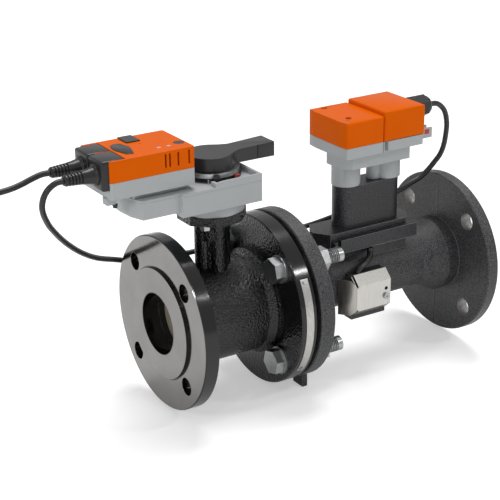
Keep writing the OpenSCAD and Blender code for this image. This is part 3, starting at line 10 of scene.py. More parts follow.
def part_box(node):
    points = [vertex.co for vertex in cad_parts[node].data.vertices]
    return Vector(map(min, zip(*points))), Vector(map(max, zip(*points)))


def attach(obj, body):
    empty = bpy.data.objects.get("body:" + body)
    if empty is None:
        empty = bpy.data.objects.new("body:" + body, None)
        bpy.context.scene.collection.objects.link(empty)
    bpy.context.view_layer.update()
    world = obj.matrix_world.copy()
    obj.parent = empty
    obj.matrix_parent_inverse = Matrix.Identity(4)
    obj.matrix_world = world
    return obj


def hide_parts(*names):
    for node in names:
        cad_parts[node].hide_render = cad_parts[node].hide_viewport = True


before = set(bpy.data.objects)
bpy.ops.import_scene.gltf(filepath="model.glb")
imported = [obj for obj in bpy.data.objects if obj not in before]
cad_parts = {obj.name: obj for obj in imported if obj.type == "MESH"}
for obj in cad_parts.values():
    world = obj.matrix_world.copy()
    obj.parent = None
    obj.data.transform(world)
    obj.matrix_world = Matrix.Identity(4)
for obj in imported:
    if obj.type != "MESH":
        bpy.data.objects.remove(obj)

scene = bpy.context.scene
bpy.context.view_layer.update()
MM = 0.001

# CAMERA
# One plain lens, found from the rims and bolt holes of the three flanges. The photograph
# was taken from the inlet side, a little above the lever, and leans by three quarters of a degree.
camera_data = bpy.data.cameras.new("camera")
camera_data.sensor_width = 36
camera_data.lens = 102.73
camera_data.clip_end = 50
camera = bpy.data.objects.new("camera", camera_data)
scene.collection.objects.link(camera)
camera_heading = radians(31.850)
camera_pitch = radians(21.676)
camera_roll = radians(-0.749)
look = Vector((cos(camera_pitch) * sin(camera_heading), cos(camera_pitch) * cos(camera_heading),
               -sin(camera_pitch)))
level_right = Vector((cos(camera_heading), -sin(camera_heading), 0))
level_up = level_right.cross(look)
camera_right = cos(camera_roll) * level_right + sin(camera_roll) * level_up
camera_up = -sin(camera_roll) * level_right + cos(camera_roll) * level_up
turn = Matrix((camera_right, camera_up, -look)).transposed()
camera_place = (-0.62174, -1.18190, 0.60945)
camera.matrix_world = Matrix.Translation(camera_place) @ turn.to_4x4()
scene.camera = camera
scene.view_settings.view_transform = "Standard"


# CORDS
# Two round black mains leads with a PVC jacket, 6 mm thick. One joins the actuator to the
# electronics head, the other leaves the picture and drops to a tied coil on the ground line.
def linear(code):
    # Turns a hex sRGB colour into the linear values that a shader takes
    parts = [int(code[i:i + 2], 16) / 255 for i in (1, 3, 5)]
    return tuple(c / 12.92 if c < 0.04045 else ((c + 0.055) / 1.055) ** 2.4 for c in parts) + (1.0,)


def connect(material, node, inputs):
    # Gives a node its inputs, as values or as links
    for name, value in dict(inputs).items():
        if isinstance(value, bpy.types.NodeSocket):
            material.node_tree.links.new(value, node.inputs[name])
        else:
            node.inputs[name].default_value = value


def add(material, kind, inputs=(), **settings):
    # Adds one shader node with its settings and links, and gives its outputs
    node = material.node_tree.nodes.new("ShaderNode" + kind)
    for name, value in settings.items():
        setattr(node, name, value)
    connect(material, node, inputs)
    return node.outputs


def start_material(name, **values):
    # A new material whose Principled shader takes these plain values, and its Object coordinates
    material = bpy.data.materials.new(name)
    material.use_nodes = True
    shader = material.node_tree.nodes["Principled BSDF"]
    connect(material, shader, {key.replace("_", " "): value for key, value in values.items()})
    return material, shader, add(material, "TexCoord")["Object"]


def pvc_jacket():
    # Extruded PVC, satin black, with a faint unevenness from the die
    material, shader, place = start_material("pvc_jacket", Roughness=0.38)
    cloud = add(material, "TexNoise", {"Vector": place, "Scale": 1 / (9 * MM)})["Fac"]
    waves = add(material, "TexNoise", {"Vector": place, "Scale": 1 / (3 * MM)})["Fac"]
    connect(material, shader, {
        "Base Color": add(material, "Mix", {0: cloud, 6: linear("#0e0e10"), 7: linear("#1c1c1e")},
                          data_type="RGBA")[2],
        "Normal": add(material, "Bump", {"Height": waves, "Distance": 0.15 * MM, "Strength": 0.5})["Normal"]})
    return material


jacket = pvc_jacket()
lead_diameter = 6 * MM
steps_per_span = 6


def smooth_route(points):
    # A soft curve through given points in millimetres, as closely spaced points in metres
    ends = [2 * Vector(points[0]) - Vector(points[1])] + [Vector(p) for p in points]
    ends.append(2 * ends[-1] - ends[-2])
    route = []
    for i in range(1, len(ends) - 2):
        a, b, c, d = ends[i - 1:i + 3]
        for k in range(steps_per_span):
            t = k / steps_per_span
            route.append(0.5 * (2 * b + (c - a) * t + (2 * a - 5 * b + 4 * c - d) * t * t
                                + (3 * b - a - 3 * c + d) * t ** 3) * MM)
    route.append(ends[-2] * MM)
    return route


def lay_cable(name, route, diameter, material):
    # A round cable as one open curve along a route
    curve = bpy.data.curves.new(name, "CURVE")
    curve.dimensions = "3D"
    curve.bevel_depth = diameter / 2
    curve.bevel_resolution = 5
    curve.use_fill_caps = True
    spline = curve.splines.new("POLY")
    spline.points.add(len(route) - 1)
    for point, place in zip(spline.points, route):
        point.co = (*place, 1)
    spline.use_smooth = True
    curve.materials.append(material)
    cable = bpy.data.objects.new(name, curve)
    scene.collection.objects.link(cable)
    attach(cable, "valve")
    return cable


sensor_route = smooth_route([
    (-102, -15, 178), (-107, -15, 178), (-112.4, -15, 176.2), (-117.2, -14.5, 172.6), (-120.4, -13, 167.3),
    (-121.7, -10.2, 160.6), (-120.8, -5.8, 152.2), (-117.2, 0, 142.8), (-111.2, 7.6, 132.4),
    (-103.2, 16.4, 121),
    (-82.6, 35.8, 97.4), (-58, 54.6, 74.6), (-30.8, 73.2, 55.4), (-1.6, 88.4, 41.6), (29, 94.4, 31),
    (62, 96, 27.6), (96, 96, 26), (120, 96, 26), (144, 96, 26), (166, 94, 26),
    (190, 88, 28), (214, 81, 31), (236, 73, 35), (254, 61, 43), (272, 48, 53),
    (290, 34, 63), (304, 24, 70), (319, 16, 77), (334, 13, 84), (347, 12, 89),
    (357, 11, 96), (365, 10, 104), (372, 9, 112), (376, 8, 122), (377, 6, 136),
    (376, 4, 150), (371, 2, 164), (364, 1, 172), (356, 0, 176.4), (346.3, 0, 177)])
sensor_lead = lay_cable("sensor_lead", sensor_route, lead_diameter, jacket)
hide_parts("sensor_cable")

supply_route = smooth_route([
    (-102, 15, 178), (-110, 15, 178), (-120, 15, 175.6), (-130, 15, 172.4), (-141, 15, 169.8),
    (-153, 15, 168.5), (-167, 16.5, 167), (-180, 20.5, 162.5), (-190, 27.5, 153.5), (-196.5, 36.5, 141),
    (-200.5, 46, 127), (-203.5, 55, 112.5), (-206, 63, 97), (-208, 69.5, 81), (-209.5, 73.8, 64.5),
    (-210, 75.6, 47.5), (-210, 76, 30.5), (-210, 76, 13.5), (-210.5, 76, -3.5), (-211, 76, -20),
    (-212, 76, -35), (-214, 76, -49), (-217.5, 76, -62), (-223, 76, -74), (-232, 76, -85),
    (-244, 76, -92.4), (-256, 76, -95.3), (-264, 76, -95.3)])
coil_radius = 34 * MM
coil_pitch = 6.8 * MM
coil_turns = 3.5
coil_centre = Vector((-264 * MM, 76 * MM - coil_radius, -95.3 * MM))


def coil_point(turn):
    # Spirals in on the ground, climbs one cable's height in the innermost half turn, spirals out
    middle = coil_turns / 2
    radius = coil_radius - coil_pitch * (middle - abs(turn - middle))
    climb = min(1, max(0, (turn - middle + 0.25) * 2))
    angle = radians(90 + 360 * turn)
    return coil_centre + Vector((radius * cos(angle), radius * sin(angle), coil_pitch * climb))


coil_steps = 48  # a turn
coil_first = 6  # the steps left out where the lead comes in straight
coil_route = [coil_point(0) - Vector((lead_diameter, 0, 0))]
coil_route += [coil_point(i / coil_steps) for i in range(coil_first, int(coil_turns * coil_steps) + 1)]
coil_route.append(coil_point(coil_turns) + Vector((lead_diameter, 0, 0)))
supply_lead = lay_cable("supply_lead", supply_route + coil_route, lead_diameter, jacket)
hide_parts("supply_cable", "supply_coil")


# STUDIO
# White ground and white surroundings, one broad soft light from above, two soft boxes and a
# small one whose glints show on the rough paint.
ground_z = -98.4 * MM  # just under the casting's feet
ground = bpy.data.meshes.new("ground")
ground_shape = bmesh.new()
bmesh.ops.create_grid(ground_shape, x_segments=1, y_segments=1, size=12)
bmesh.ops.translate(ground_shape, verts=ground_shape.verts, vec=(0, 0, ground_z))
ground_shape.to_mesh(ground)
ground_shape.free()
floor = bpy.data.objects.new("floor", ground)
scene.collection.objects.link(floor)
paper, paper_shader, _ = start_material("white_paper", Roughness=0.9, Specular_IOR_Level=0.0)
paper_shader.inputs["Base Color"].default_value = linear("#f2f2f2")
paper_shader.inputs["Emission Color"].default_value = (1, 1, 1, 1)


def seen_ray(material):
    # 1 for rays from the camera or through glass, 0.4 off gloss, 0 for diffuse light
    path = add(material, "LightPath")
    gloss = add(material, "Math", {0: path["Is Glossy Ray"], 1: 0.4}, operation="MULTIPLY")["Value"]
    direct = add(material, "Math", {0: path["Is Camera Ray"], 1: gloss}, operation="MAXIMUM")["Value"]
    return add(material, "Math", {0: direct, 1: path["Is Transmission Ray"]}, operation="MAXIMUM")["Value"]


lift = add(paper, "Math", {0: seen_ray(paper), 1: 0.42}, operation="MULTIPLY")["Value"]
connect(paper, paper_shader, {"Emission Strength": lift})
ground.materials.append(paper)

world = bpy.data.worlds.new("surroundings")
world.use_nodes = True
scene.world = world
sky_level = add(world, "MapRange", {"Value": seen_ray(world), "To Min": 0.36, "To Max": 1.0})["Result"]
connect(world, world.node_tree.nodes["Background"], {"Color": (1, 1, 1, 1), "Strength": sky_level})


def aim(lamp, place, target):
    # Puts a lamp at a place and turns it to a target
    lamp.location = place
    lamp.rotation_euler = (Vector(target) - Vector(place)).to_track_quat("-Z", "Y").to_euler()


overhead_data = bpy.data.lights.new("overhead", "SUN")
overhead_data.energy = 1.8
overhead_data.angle = radians(30)
overhead = bpy.data.objects.new("overhead", overhead_data)
scene.collection.objects.link(overhead)
aim(overhead, (0.5, 0.35, 1.6), (0.1, 0, 0))
for name, place, width, height, power in (
        ("left_box", (-1.5, -0.5, 0.9), 0.14, 0.3, 5),
        ("spark", (-0.55, -0.9, 1.1), 0.03, 0.03, 0.5),
        ("right_box", (1.1, -1.3, 1.3), 0.2, 0.12, 4.5)):
    box_data = bpy.data.lights.new(name, "AREA")
    box_data.shape = "RECTANGLE"
    box_data.size = width
    box_data.size_y = height
    box_data.energy = power
    soft_box = bpy.data.objects.new(name, box_data)
    scene.collection.objects.link(soft_box)
    aim(soft_box, place, (0.12, 0, 0.05))


# VALVE BODY
# One iron casting with a gloss black coating. The barrel and the neck keep the sand's rough skin
# under the paint, the flange rims are turned smooth, and the inlet face is left as bare metal.
def dress(material, *names):
    # Gives CAD nodes a finish in place of their plain colour
    for name in names:
        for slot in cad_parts[name].material_slots:
            slot.material = material


def distance(material, across, upward):
    # How far a point is from a line along X, from its offsets along Y and Z
    across_squared = add(material, "Math", {0: across, 1: across}, operation="MULTIPLY")["Value"]
    squared = add(material, "Math", {0: upward, 1: upward, 2: across_squared},
                  operation="MULTIPLY_ADD")["Value"]
    return add(material, "Math", {0: squared}, operation="SQRT")["Value"]


inlet_back = 19 * MM
mid_front = 117 * MM
rim_radius = 92.5 * MM
raised_radius = 59 * MM
bore_radius = 33 * MM
skin_lump = 2.4 * MM


def cast_iron_paint():
    material, shader, place = start_material("cast_iron_gloss_paint", Specular_IOR_Level=0.5)
    axes = add(material, "SeparateXYZ", {"Vector": place})
    radius = distance(material, axes["Y"], axes["Z"])
    off_middle = add(material, "Math", {0: axes["Y"]}, operation="ABSOLUTE")["Value"]
    # Each mask rises from 0 at its first place to 1 at its second
    mask = {name: add(material, "MapRange", {"Value": value, "From Min": zero, "From Max": one},
                      interpolation_type="SMOOTHSTEP")["Result"]
            for name, value, zero, one in (
                ("past inlet flange", axes["X"], inlet_back - 1 * MM, inlet_back + 1 * MM),
                ("before middle flange", axes["X"], mid_front + 1 * MM, mid_front - 1 * MM),
                ("parting plane", off_middle, 0.9 * MM, 0.2 * MM),
                ("rim", radius, rim_radius - 1 * MM, rim_radius - 0.5 * MM),
                ("front", axes["X"], 3.5 * MM, 3.2 * MM),
                ("inside rim", radius, rim_radius - 0.7 * MM, rim_radius - 1.0 * MM),
                ("corner start", radius, raised_radius - 0.3 * MM, raised_radius),
                ("corner end", radius, raised_radius + 1.6 * MM, raised_radius + 1.2 * MM),
                ("bore", radius, bore_radius + 0.4 * MM, bore_radius))}
    # The sand's skin, the fin of the parting line, the turned face and a ring of painted shade at the foot of
    # the raised face
    rough, fin, face, painted_shade_ring = (
        add(material, "Math", {0: mask[one], 1: mask[other]}, operation="MULTIPLY")["Value"]
        for one, other in (("past inlet flange", "before middle flange"), ("parting plane", "rim"),
                           ("front", "inside rim"), ("corner start", "corner end")))
    lumps = add(material, "TexVoronoi", {"Vector": place, "Scale": 1 / skin_lump, "Smoothness": 0.25},
                feature="SMOOTH_F1")["Distance"]
    grain = add(material, "TexNoise", {"Vector": place, "Scale": 1 / skin_lump, "Detail": 3.0,
                                       "Roughness": 0.6})["Fac"]
    peel = add(material, "TexNoise", {"Vector": place, "Scale": 1 / (5 * MM), "Detail": 1.0})["Fac"]
    sand = add(material, "Math", {0: lumps, 1: grain}, operation="ADD")["Value"]
    skin = add(material, "Math", {0: rough, 1: sand}, operation="MULTIPLY")["Value"]
    coated = add(material, "Math", {0: peel, 1: 0.05, 2: skin}, operation="MULTIPLY_ADD")["Value"]
    height = add(material, "Math", {0: fin, 1: 0.8, 2: coated}, operation="MULTIPLY_ADD")["Value"]
    # Painted shade: the ring at the foot of the raised face stays black paint instead of bare metal
    off_painted_shade_ring = add(material, "Math", {0: 1.0, 1: painted_shade_ring}, operation="SUBTRACT")["Value"]
    off_bore = add(material, "Math", {0: 1.0, 1: mask["bore"]}, operation="SUBTRACT")["Value"]
    turned = add(material, "Math", {0: face, 1: off_painted_shade_ring}, operation="MULTIPLY")["Value"]
    metal = add(material, "Math", {0: turned, 1: off_bore}, operation="MULTIPLY")["Value"]
    paint = add(material, "Mix", {0: grain, 6: linear("#040405"), 7: linear("#0c0c0d")}, data_type="RGBA")[2]
    cloud = add(material, "TexNoise", {"Vector": place, "Scale": 1 / (26 * MM), "Detail": 3.0})["Fac"]
    iron = add(material, "Mix", {0: cloud, 6: linear("#7f7d7b"), 7: linear("#949290")}, data_type="RGBA")[2]
    edge = add(material, "Bevel", {"Radius": 0.7 * MM}, samples=6)["Normal"]
    connect(material, shader, {
        "Base Color": add(material, "Mix", {0: metal, 6: paint, 7: iron}, data_type="RGBA")[2],
        "Metallic": metal,
        "Roughness": add(material, "MapRange", {"Value": rough, "To Min": 0.15, "To Max": 0.1})["Result"],
        "Normal": add(material, "Bump", {"Height": height, "Distance": 0.8 * MM, "Strength": 1.0,
                                         "Normal": edge})["Normal"]})
    return material


dress(cast_iron_paint(), "valve_body", "body_insert")


# BALL, SEATS AND STEM
# Chromed brass ball and turned steel stem between glass-filled PTFE seats, all inside the body.
# The beige disc with the shaped window is what the bore shows.
wave_scale = 0.314  # a wave texture's scale for bands one unit apart


def turned_steel(name, tint, rough, ring):
    # Bright metal with the fine rings that a lathe leaves, drawn coarse enough to show
    material, shader, place = start_material(name, Metallic=1.0, Roughness=rough)
    rings = add(material, "TexWave", {"Vector": place, "Scale": wave_scale / ring, "Distortion": 1.5,
                                      "Detail": 1.0}, bands_direction="X")["Fac"]
    cloud = add(material, "TexNoise", {"Vector": place, "Scale": 1 / (7 * MM), "Detail": 3.0})["Fac"]
    edge = add(material, "Bevel", {"Radius": 0.25 * MM}, samples=6)["Normal"]
    connect(material, shader, {
        "Base Color": add(material, "Mix", {0: cloud, 6: linear(tint), 7: linear("#d8d9d8")},
                          data_type="RGBA")[2],
        "Normal": add(material, "Bump", {"Height": rings, "Distance": 0.01 * MM, "Strength": 0.6,
                                         "Normal": edge})["Normal"]})
    return material


def filled_plastic(name, low, high, rough=0.5):
    # Turned or moulded technical plastic with a slight mottle from its filler
    material, shader, place = start_material(name, Roughness=rough)
    mottle = add(material, "TexNoise", {"Vector": place, "Scale": 1 / (2.5 * MM), "Detail": 4.0})["Fac"]
    grain = add(material, "TexNoise", {"Vector": place, "Scale": 1 / (1 * MM)})["Fac"]
    edge = add(material, "Bevel", {"Radius": 0.3 * MM}, samples=6)["Normal"]
    connect(material, shader, {
        "Base Color": add(material, "Mix", {0: mottle, 6: linear(low), 7: linear(high)}, data_type="RGBA")[2],
        "Normal": add(material, "Bump", {"Height": grain, "Distance": 0.03 * MM, "Strength": 0.5,
                                         "Normal": edge})["Normal"]})
    return material


dress(turned_steel("chromed_brass", "#c4c6c6", 0.12, 1.2 * MM), "ball")
dress(turned_steel("turned_steel", "#a9abaa", 0.28, 0.8 * MM), "stem", "drive_hub", "gear_shaft",
      "motor_pinion")
dress(filled_plastic("filled_ptfe", "#8f8878", "#a59d8a"), "seat_rings", "characterising_disc", "hub_bush")
dress(filled_plastic("acetal", "#d2cdbd", "#e0dccd", 0.35), "output_gear", "gear_wheels")
dress(filled_plastic("nitrile_rubber", "#151515", "#232323", 0.6), "stem_seals")
dress(filled_plastic("fibre_gasket", "#1c1e1d", "#2c2f2d", 0.8), "flange_gasket")


# FLANGE BOLTS, NUTS AND SCREWS
# M16 steel bolts, zinc plated and passivated, with rolled threads of 2 mm pitch past the nuts, drawn
# at 2.2 mm. The plating is bright with a cloudy bloom; the thread grooves are painted darker as shade.
thread_pitch = 2.2 * MM
thread_start = 171.8 * MM
thread_end = 186 * MM


def zinc_plate(name, threaded=False):
    material, shader, place = start_material(name, Metallic=1.0)
    cloud = add(material, "TexNoise", {"Vector": place, "Scale": 1 / (5 * MM), "Detail": 4.0,
                                       "Roughness": 0.6})["Fac"]
    grain = add(material, "TexNoise", {"Vector": place, "Scale": 1 / (1.5 * MM), "Detail": 3.0})["Fac"]
    colour = add(material, "Mix", {0: cloud, 6: linear("#8d9091"), 7: linear("#c3c6c5")}, data_type="RGBA")[2]
    below = add(material, "Bevel", {"Radius": 0.5 * MM}, samples=6)["Normal"]
    if threaded:
        along = add(material, "SeparateXYZ", {"Vector": place})["X"]
        turned = add(material, "Math", {0: along, 1: 2 * pi / thread_pitch}, operation="MULTIPLY")["Value"]
        wave = add(material, "Math", {0: turned}, operation="SINE")["Value"]
        depth = add(material, "Math", {0: wave, 1: 0.5, 2: 0.5}, operation="MULTIPLY_ADD")["Value"]
        for zero, one in ((thread_start, thread_start + 0.3 * MM), (thread_end, thread_end - 0.3 * MM)):
            end = add(material, "MapRange", {"Value": along, "From Min": zero, "From Max": one},
                      interpolation_type="SMOOTHSTEP")["Result"]
            depth = add(material, "Math", {0: depth, 1: end}, operation="MULTIPLY")["Value"]
        # Painted shade: the thread grooves are coloured darker
        colour = add(material, "Mix", {0: depth, 6: colour, 7: linear("#4c4e4f")}, data_type="RGBA")[2]
        below = add(material, "Bump", {"Height": depth, "Distance": -0.8 * MM, "Strength": 1.0,
                                       "Normal": below})["Normal"]
    connect(material, shader, {
        "Base Color": colour,
        "Roughness": add(material, "MapRange", {"Value": cloud, "To Min": 0.22, "To Max": 0.42})["Result"],
        "Normal": add(material, "Bump", {"Height": grain, "Distance": 0.02 * MM, "Strength": 0.7,
                                         "Normal": below})["Normal"]})
    return material


dress(zinc_plate("zinc_plated_thread", threaded=True), "flange_bolts")
dress(zinc_plate("zinc_plated_steel"), "flange_washers", "flange_nuts", "pad_bolts", "label_rivets",
      "cover_screw", "cap_screws")


# LABEL STRIP
# Bare stainless strip bent round the body's outlet flange and held by two domed rivets.
# Its surface is brushed along its length. It is left without any print.
def brushed_steel(name, tint, rough, end_x=None):
    # Steel brushed along Z; below end_x, its end, the colour is a flat painted reflection tone
    material, shader, place = start_material(name, Metallic=1.0)
    stretched = add(material, "Mapping", {"Vector": place,
                                          "Scale": (1 / (0.5 * MM), 1 / (0.5 * MM), 1 / (30 * MM))})["Vector"]
    scratches = add(material, "TexNoise", {"Vector": stretched, "Scale": 1.0, "Detail": 3.0})["Fac"]
    colour = add(material, "Mix", {0: scratches, 6: linear(tint), 7: linear("#dedcd7")}, data_type="RGBA")[2]
    if end_x:
        along = add(material, "SeparateXYZ", {"Vector": place})["X"]
        end = add(material, "MapRange", {"Value": along, "From Min": end_x + 0.4 * MM, "From Max": end_x},
                  interpolation_type="SMOOTHSTEP")["Result"]
        # Painted reflection: the end below end_x takes a flat tone in place of what it reflects
        colour = add(material, "Mix", {0: end, 6: colour, 7: linear("#b7b3ad")}, data_type="RGBA")[2]
    edge = add(material, "Bevel", {"Radius": 0.4 * MM}, samples=6)["Normal"]
    connect(material, shader, {
        "Base Color": colour,
        "Roughness": add(material, "MapRange", {"Value": scratches, "To Min": rough - 0.08,
                                                "To Max": rough + 0.08})["Result"],
        "Normal": add(material, "Bump", {"Height": scratches, "Distance": 0.02 * MM, "Strength": 0.5,
                                         "Normal": edge})["Normal"]})
    return material


dress(brushed_steel("brushed_stainless_strip", "#858482", 0.36), "label_strip")


# FLOW SENSOR
# Iron casting with a dull black powder coat, evenly speckled and thin on sharp edges, whose lighter
# edges are partly wear and partly painted highlight. The saddle, its pillar and the bar are coated finer.
# The cover is brushed steel, the transducers ceramic.
def powder_coat(name, low, high, size, rough):
    # Gives the speckles and the colour too, for a finish that builds on the coat
    material, shader, place = start_material(name, Specular_IOR_Level=0.4)
    dots = add(material, "TexNoise", {"Vector": place, "Scale": 1 / size, "Roughness": 0.7})["Fac"]
    spots = add(material, "MapRange", {"Value": dots, "From Min": 0.42, "From Max": 0.62},
                interpolation_type="SMOOTHSTEP")["Result"]
    coat = add(material, "Mix", {0: spots, 6: linear(low), 7: linear(high)}, data_type="RGBA")[2]
    plain = add(material, "NewGeometry")["Normal"]
    bent = add(material, "Bevel", {"Radius": 1.1 * MM}, samples=6)["Normal"]
    likeness = add(material, "VectorMath", {0: bent, 1: plain}, operation="DOT_PRODUCT")["Value"]
    # Partly wear, partly painted highlight: sharp edges, found from the bevel's turn of the normal, are
    # coloured light grey
    wear_and_highlight = add(material, "MapRange", {"Value": likeness, "From Min": 0.985, "From Max": 0.82},
               interpolation_type="SMOOTHSTEP")["Result"]
    colour = add(material, "Mix", {0: wear_and_highlight, 6: coat, 7: linear("#8f8f90")}, data_type="RGBA")[2]
    edge = add(material, "Bevel", {"Radius": 0.8 * MM}, samples=6)["Normal"]
    connect(material, shader, {
        "Base Color": colour,
        "Roughness": add(material, "MapRange", {"Value": dots, "To Min": rough - 0.12,
                                                "To Max": rough + 0.15})["Result"],
        "Normal": add(material, "Bump", {"Height": dots, "Distance": 0.35 * MM, "Strength": 1.0,
                                         "Normal": edge})["Normal"]})
    return material, shader, place, dots, colour


bolt_place = 51.27 * MM
bolt_hole_radius = 9.5 * MM
seam_from = 40 * MM
arrow_x = 326 * MM
arrow_z = 2 * MM
arrow_half = 15 * MM
arrow_slant = 0.55


def casting_coat():
    # The coat with drilled bolt holes of bare iron, the mould's parting line and the raised outline
    # of the flow arrow, which is a shape without any letter
    material, shader, place, dots, coat = powder_coat("black_powder_coat", "#232325", "#58585a",
                                                      1.2 * MM, 0.4)
    axes = add(material, "SeparateXYZ", {"Vector": place})
    radius = distance(material, axes["Y"], axes["Z"])
    off_middle, off_level = (add(material, "Math", {0: axes[axis]}, operation="ABSOLUTE")["Value"]
                             for axis in "YZ")
    across, upward = (add(material, "Math", {0: off, 1: bolt_place}, operation="SUBTRACT")["Value"]
                      for off in (off_middle, off_level))
    above = add(material, "Math", {0: axes["Z"], 1: arrow_z}, operation="SUBTRACT")["Value"]
    off_arrow = add(material, "Math", {0: above}, operation="ABSOLUTE")["Value"]
    behind = add(material, "Math", {0: axes["X"], 1: arrow_x}, operation="SUBTRACT")["Value"]
    slant = add(material, "Math", {0: off_arrow, 1: arrow_slant}, operation="MULTIPLY")["Value"]
    aside = add(material, "Math", {0: behind, 1: slant}, operation="SUBTRACT")["Value"]
    off_line = add(material, "Math", {0: aside}, operation="ABSOLUTE")["Value"]
    drilled, seam, flange, line, ends, near_side = (
        add(material, "MapRange", {"Value": value, "From Min": zero, "From Max": one},
            interpolation_type="SMOOTHSTEP")["Result"]
        for value, zero, one in (
            (distance(material, across, upward), bolt_hole_radius + 0.25 * MM, bolt_hole_radius + 0.05 * MM),
            (off_middle, 1.1 * MM, 0.3 * MM),
            (radius, seam_from, seam_from + 4 * MM),
            (off_line, 1.1 * MM, 0.6 * MM),
            (off_arrow, arrow_half + 0.5 * MM, arrow_half),
            (axes["Y"], -10 * MM, -12 * MM)))
    seam = add(material, "Math", {0: seam, 1: flange}, operation="MULTIPLY")["Value"]
    arrow = add(material, "Math", {0: line, 1: ends}, operation="MULTIPLY")["Value"]
    arrow = add(material, "Math", {0: arrow, 1: near_side}, operation="MULTIPLY")["Value"]
    raised = add(material, "Math", {0: seam, 1: arrow}, operation="MAXIMUM")["Value"]
    height = add(material, "Math", {0: raised, 1: 4.0, 2: dots}, operation="MULTIPLY_ADD")["Value"]
    edge = add(material, "Bevel", {"Radius": 0.8 * MM}, samples=6)["Normal"]
    connect(material, shader, {
        "Base Color": add(material, "Mix", {0: drilled, 6: coat, 7: linear("#8a8987")}, data_type="RGBA")[2],
        "Metallic": drilled,
        "Normal": add(material, "Bump", {"Height": height, "Distance": 0.35 * MM, "Strength": 1.0,
                                         "Normal": edge})["Normal"]})
    return material


# The cover's end below this X takes a painted reflection tone
cover_end_x = 216.3 * MM
cover_steel = brushed_steel("brushed_stainless_cover", "#a9a6a0", 0.3, cover_end_x)
dress(casting_coat(), "sensor_casting")
dress(powder_coat("black_saddle_coat", "#1d1d1f", "#3f3f42", 1.4 * MM, 0.3)[0], "sensor_saddle",
      "sensor_pillar")
dress(powder_coat("anodised_bar", "#262629", "#39393c", 1.2 * MM, 0.28)[0], "cable_bar", "transducer_block")
dress(filled_plastic("transducer_ceramic", "#97917f", "#b0aa98"), "transducers")
dress(jacket, "pocket_cable")
dress(cover_steel, "steel_cover")


# MOULDED SHELLS
# Injection moulded ABS: orange covers with a gloss skin, grey housings a little duller, and
# black for plugs, lever and glands. The skin shows a faint grain from the eroded mould.
def moulded_plastic(name, low, high, rough, grain=0.6 * MM, depth=0.02 * MM, round_by=0.6 * MM, level=0.5):
    material, shader, place = start_material(name, Specular_IOR_Level=level)
    fine = add(material, "TexNoise", {"Vector": place, "Scale": 1 / grain})["Fac"]
    broad = add(material, "TexNoise", {"Vector": place, "Scale": 1 / (30 * MM)})["Fac"]
    edge = add(material, "Bevel", {"Radius": round_by}, samples=6)["Normal"]
    connect(material, shader, {
        "Base Color": add(material, "Mix", {0: broad, 6: linear(low), 7: linear(high)}, data_type="RGBA")[2],
        "Roughness": add(material, "MapRange", {"Value": fine, "To Min": rough - 0.05,
                                                "To Max": rough + 0.05})["Result"],
        "Normal": add(material, "Bump", {"Height": fine, "Distance": depth, "Strength": 0.8,
                                         "Normal": edge})["Normal"]})
    return material


orange_abs = moulded_plastic("orange_abs", "#e46004", "#e96708", 0.24, round_by=0.9 * MM, level=0.02)
lever_abs = moulded_plastic("lever_abs", "#1c1c1e", "#28282a", 0.32, 1.2 * MM, 0.04 * MM, level=0.42)
grey_abs = moulded_plastic("grey_abs", "#adb1b3", "#b5b9ba", 0.42, depth=0.03 * MM, level=0.3)
black_abs = moulded_plastic("black_abs", "#1a1a1c", "#262628", 0.3, 1.2 * MM, 0.04 * MM, level=0.42)
ring_grey = moulded_plastic("dark_grey_acetal", "#4d5153", "#585c5e", 0.4)
dress(orange_abs, "drive_cap", "low_cap", "high_cap")
dress(grey_abs, "drive_housing", "gear_housing", "gear_cover", "electronics_housing", "release_tab")
dress(black_abs, "hand_lever", "sensor_plug", "supply_plug", "override_button", "socket_cover",
      "cable_gland", "gland_nut", "near_end_stop", "right_end_stop")
dress(ring_grey, "scale_ring")
dress(moulded_plastic("red_abs", "#9c3a28", "#b14632", 0.4), "scale_marker")
dress(moulded_plastic("lamp_polycarbonate", "#c9a8b0", "#d9bac2", 0.25), "left_signal_button",
      "right_signal_button")
dress(turned_steel("zinc_die_cast", "#9b9d9d", 0.3, 1.0 * MM), "metal_ring")
dress(turned_steel("spring_steel", "#8d9092", 0.25, 0.8 * MM), "button_spring")
dress(moulded_plastic("motor_can_steel", "#85898c", "#969a9d", 0.35), "motor")


# CIRCUIT BOARDS AND WIRES
# Glass-fibre boards with a green solder mask, whose copper tracks show as paler lines.
# The free wires are tinned copper strands twisted together.
def solder_mask():
    material, shader, place = start_material("solder_mask", Roughness=0.35)
    tracks = add(material, "TexBrick", {
        "Vector": place, "Scale": 1 / (8 * MM), "Mortar Size": 0.05, "Color1": linear("#1f5236"),
        "Color2": linear("#235a3c"), "Mortar": linear("#3c7f58")})["Color"]
    grain = add(material, "TexNoise", {"Vector": place, "Scale": 1 / (2 * MM)})["Fac"]
    edge = add(material, "Bevel", {"Radius": 0.2 * MM}, samples=6)["Normal"]
    connect(material, shader, {
        "Base Color": tracks,
        "Normal": add(material, "Bump", {"Height": grain, "Distance": 0.02 * MM, "Strength": 0.5,
                                         "Normal": edge})["Normal"]})
    return material


def stranded_copper():
    material, shader, place = start_material("tinned_copper", Metallic=1.0, Roughness=0.35)
    strands = add(material, "TexWave", {"Vector": place, "Scale": wave_scale / (0.5 * MM), "Distortion": 2.0},
                  bands_direction="DIAGONAL")["Fac"]
    connect(material, shader, {
        "Base Color": add(material, "Mix", {0: strands, 6: linear("#9a7350"), 7: linear("#c9b49c")},
                          data_type="RGBA")[2],
        "Normal": add(material, "Bump", {"Height": strands, "Distance": 0.1 * MM,
                                         "Strength": 0.8})["Normal"]})
    return material


dress(solder_mask(), "drive_board", "electronics_board")
dress(stranded_copper(), "supply_wires")


# ROUNDED COVERS, HOUSINGS AND LEVER
# The moulded shells with their long corners rounded as the mould leaves them. Each stands where its
# solid stands, and only the lever turns.
sharp_from = radians(28)


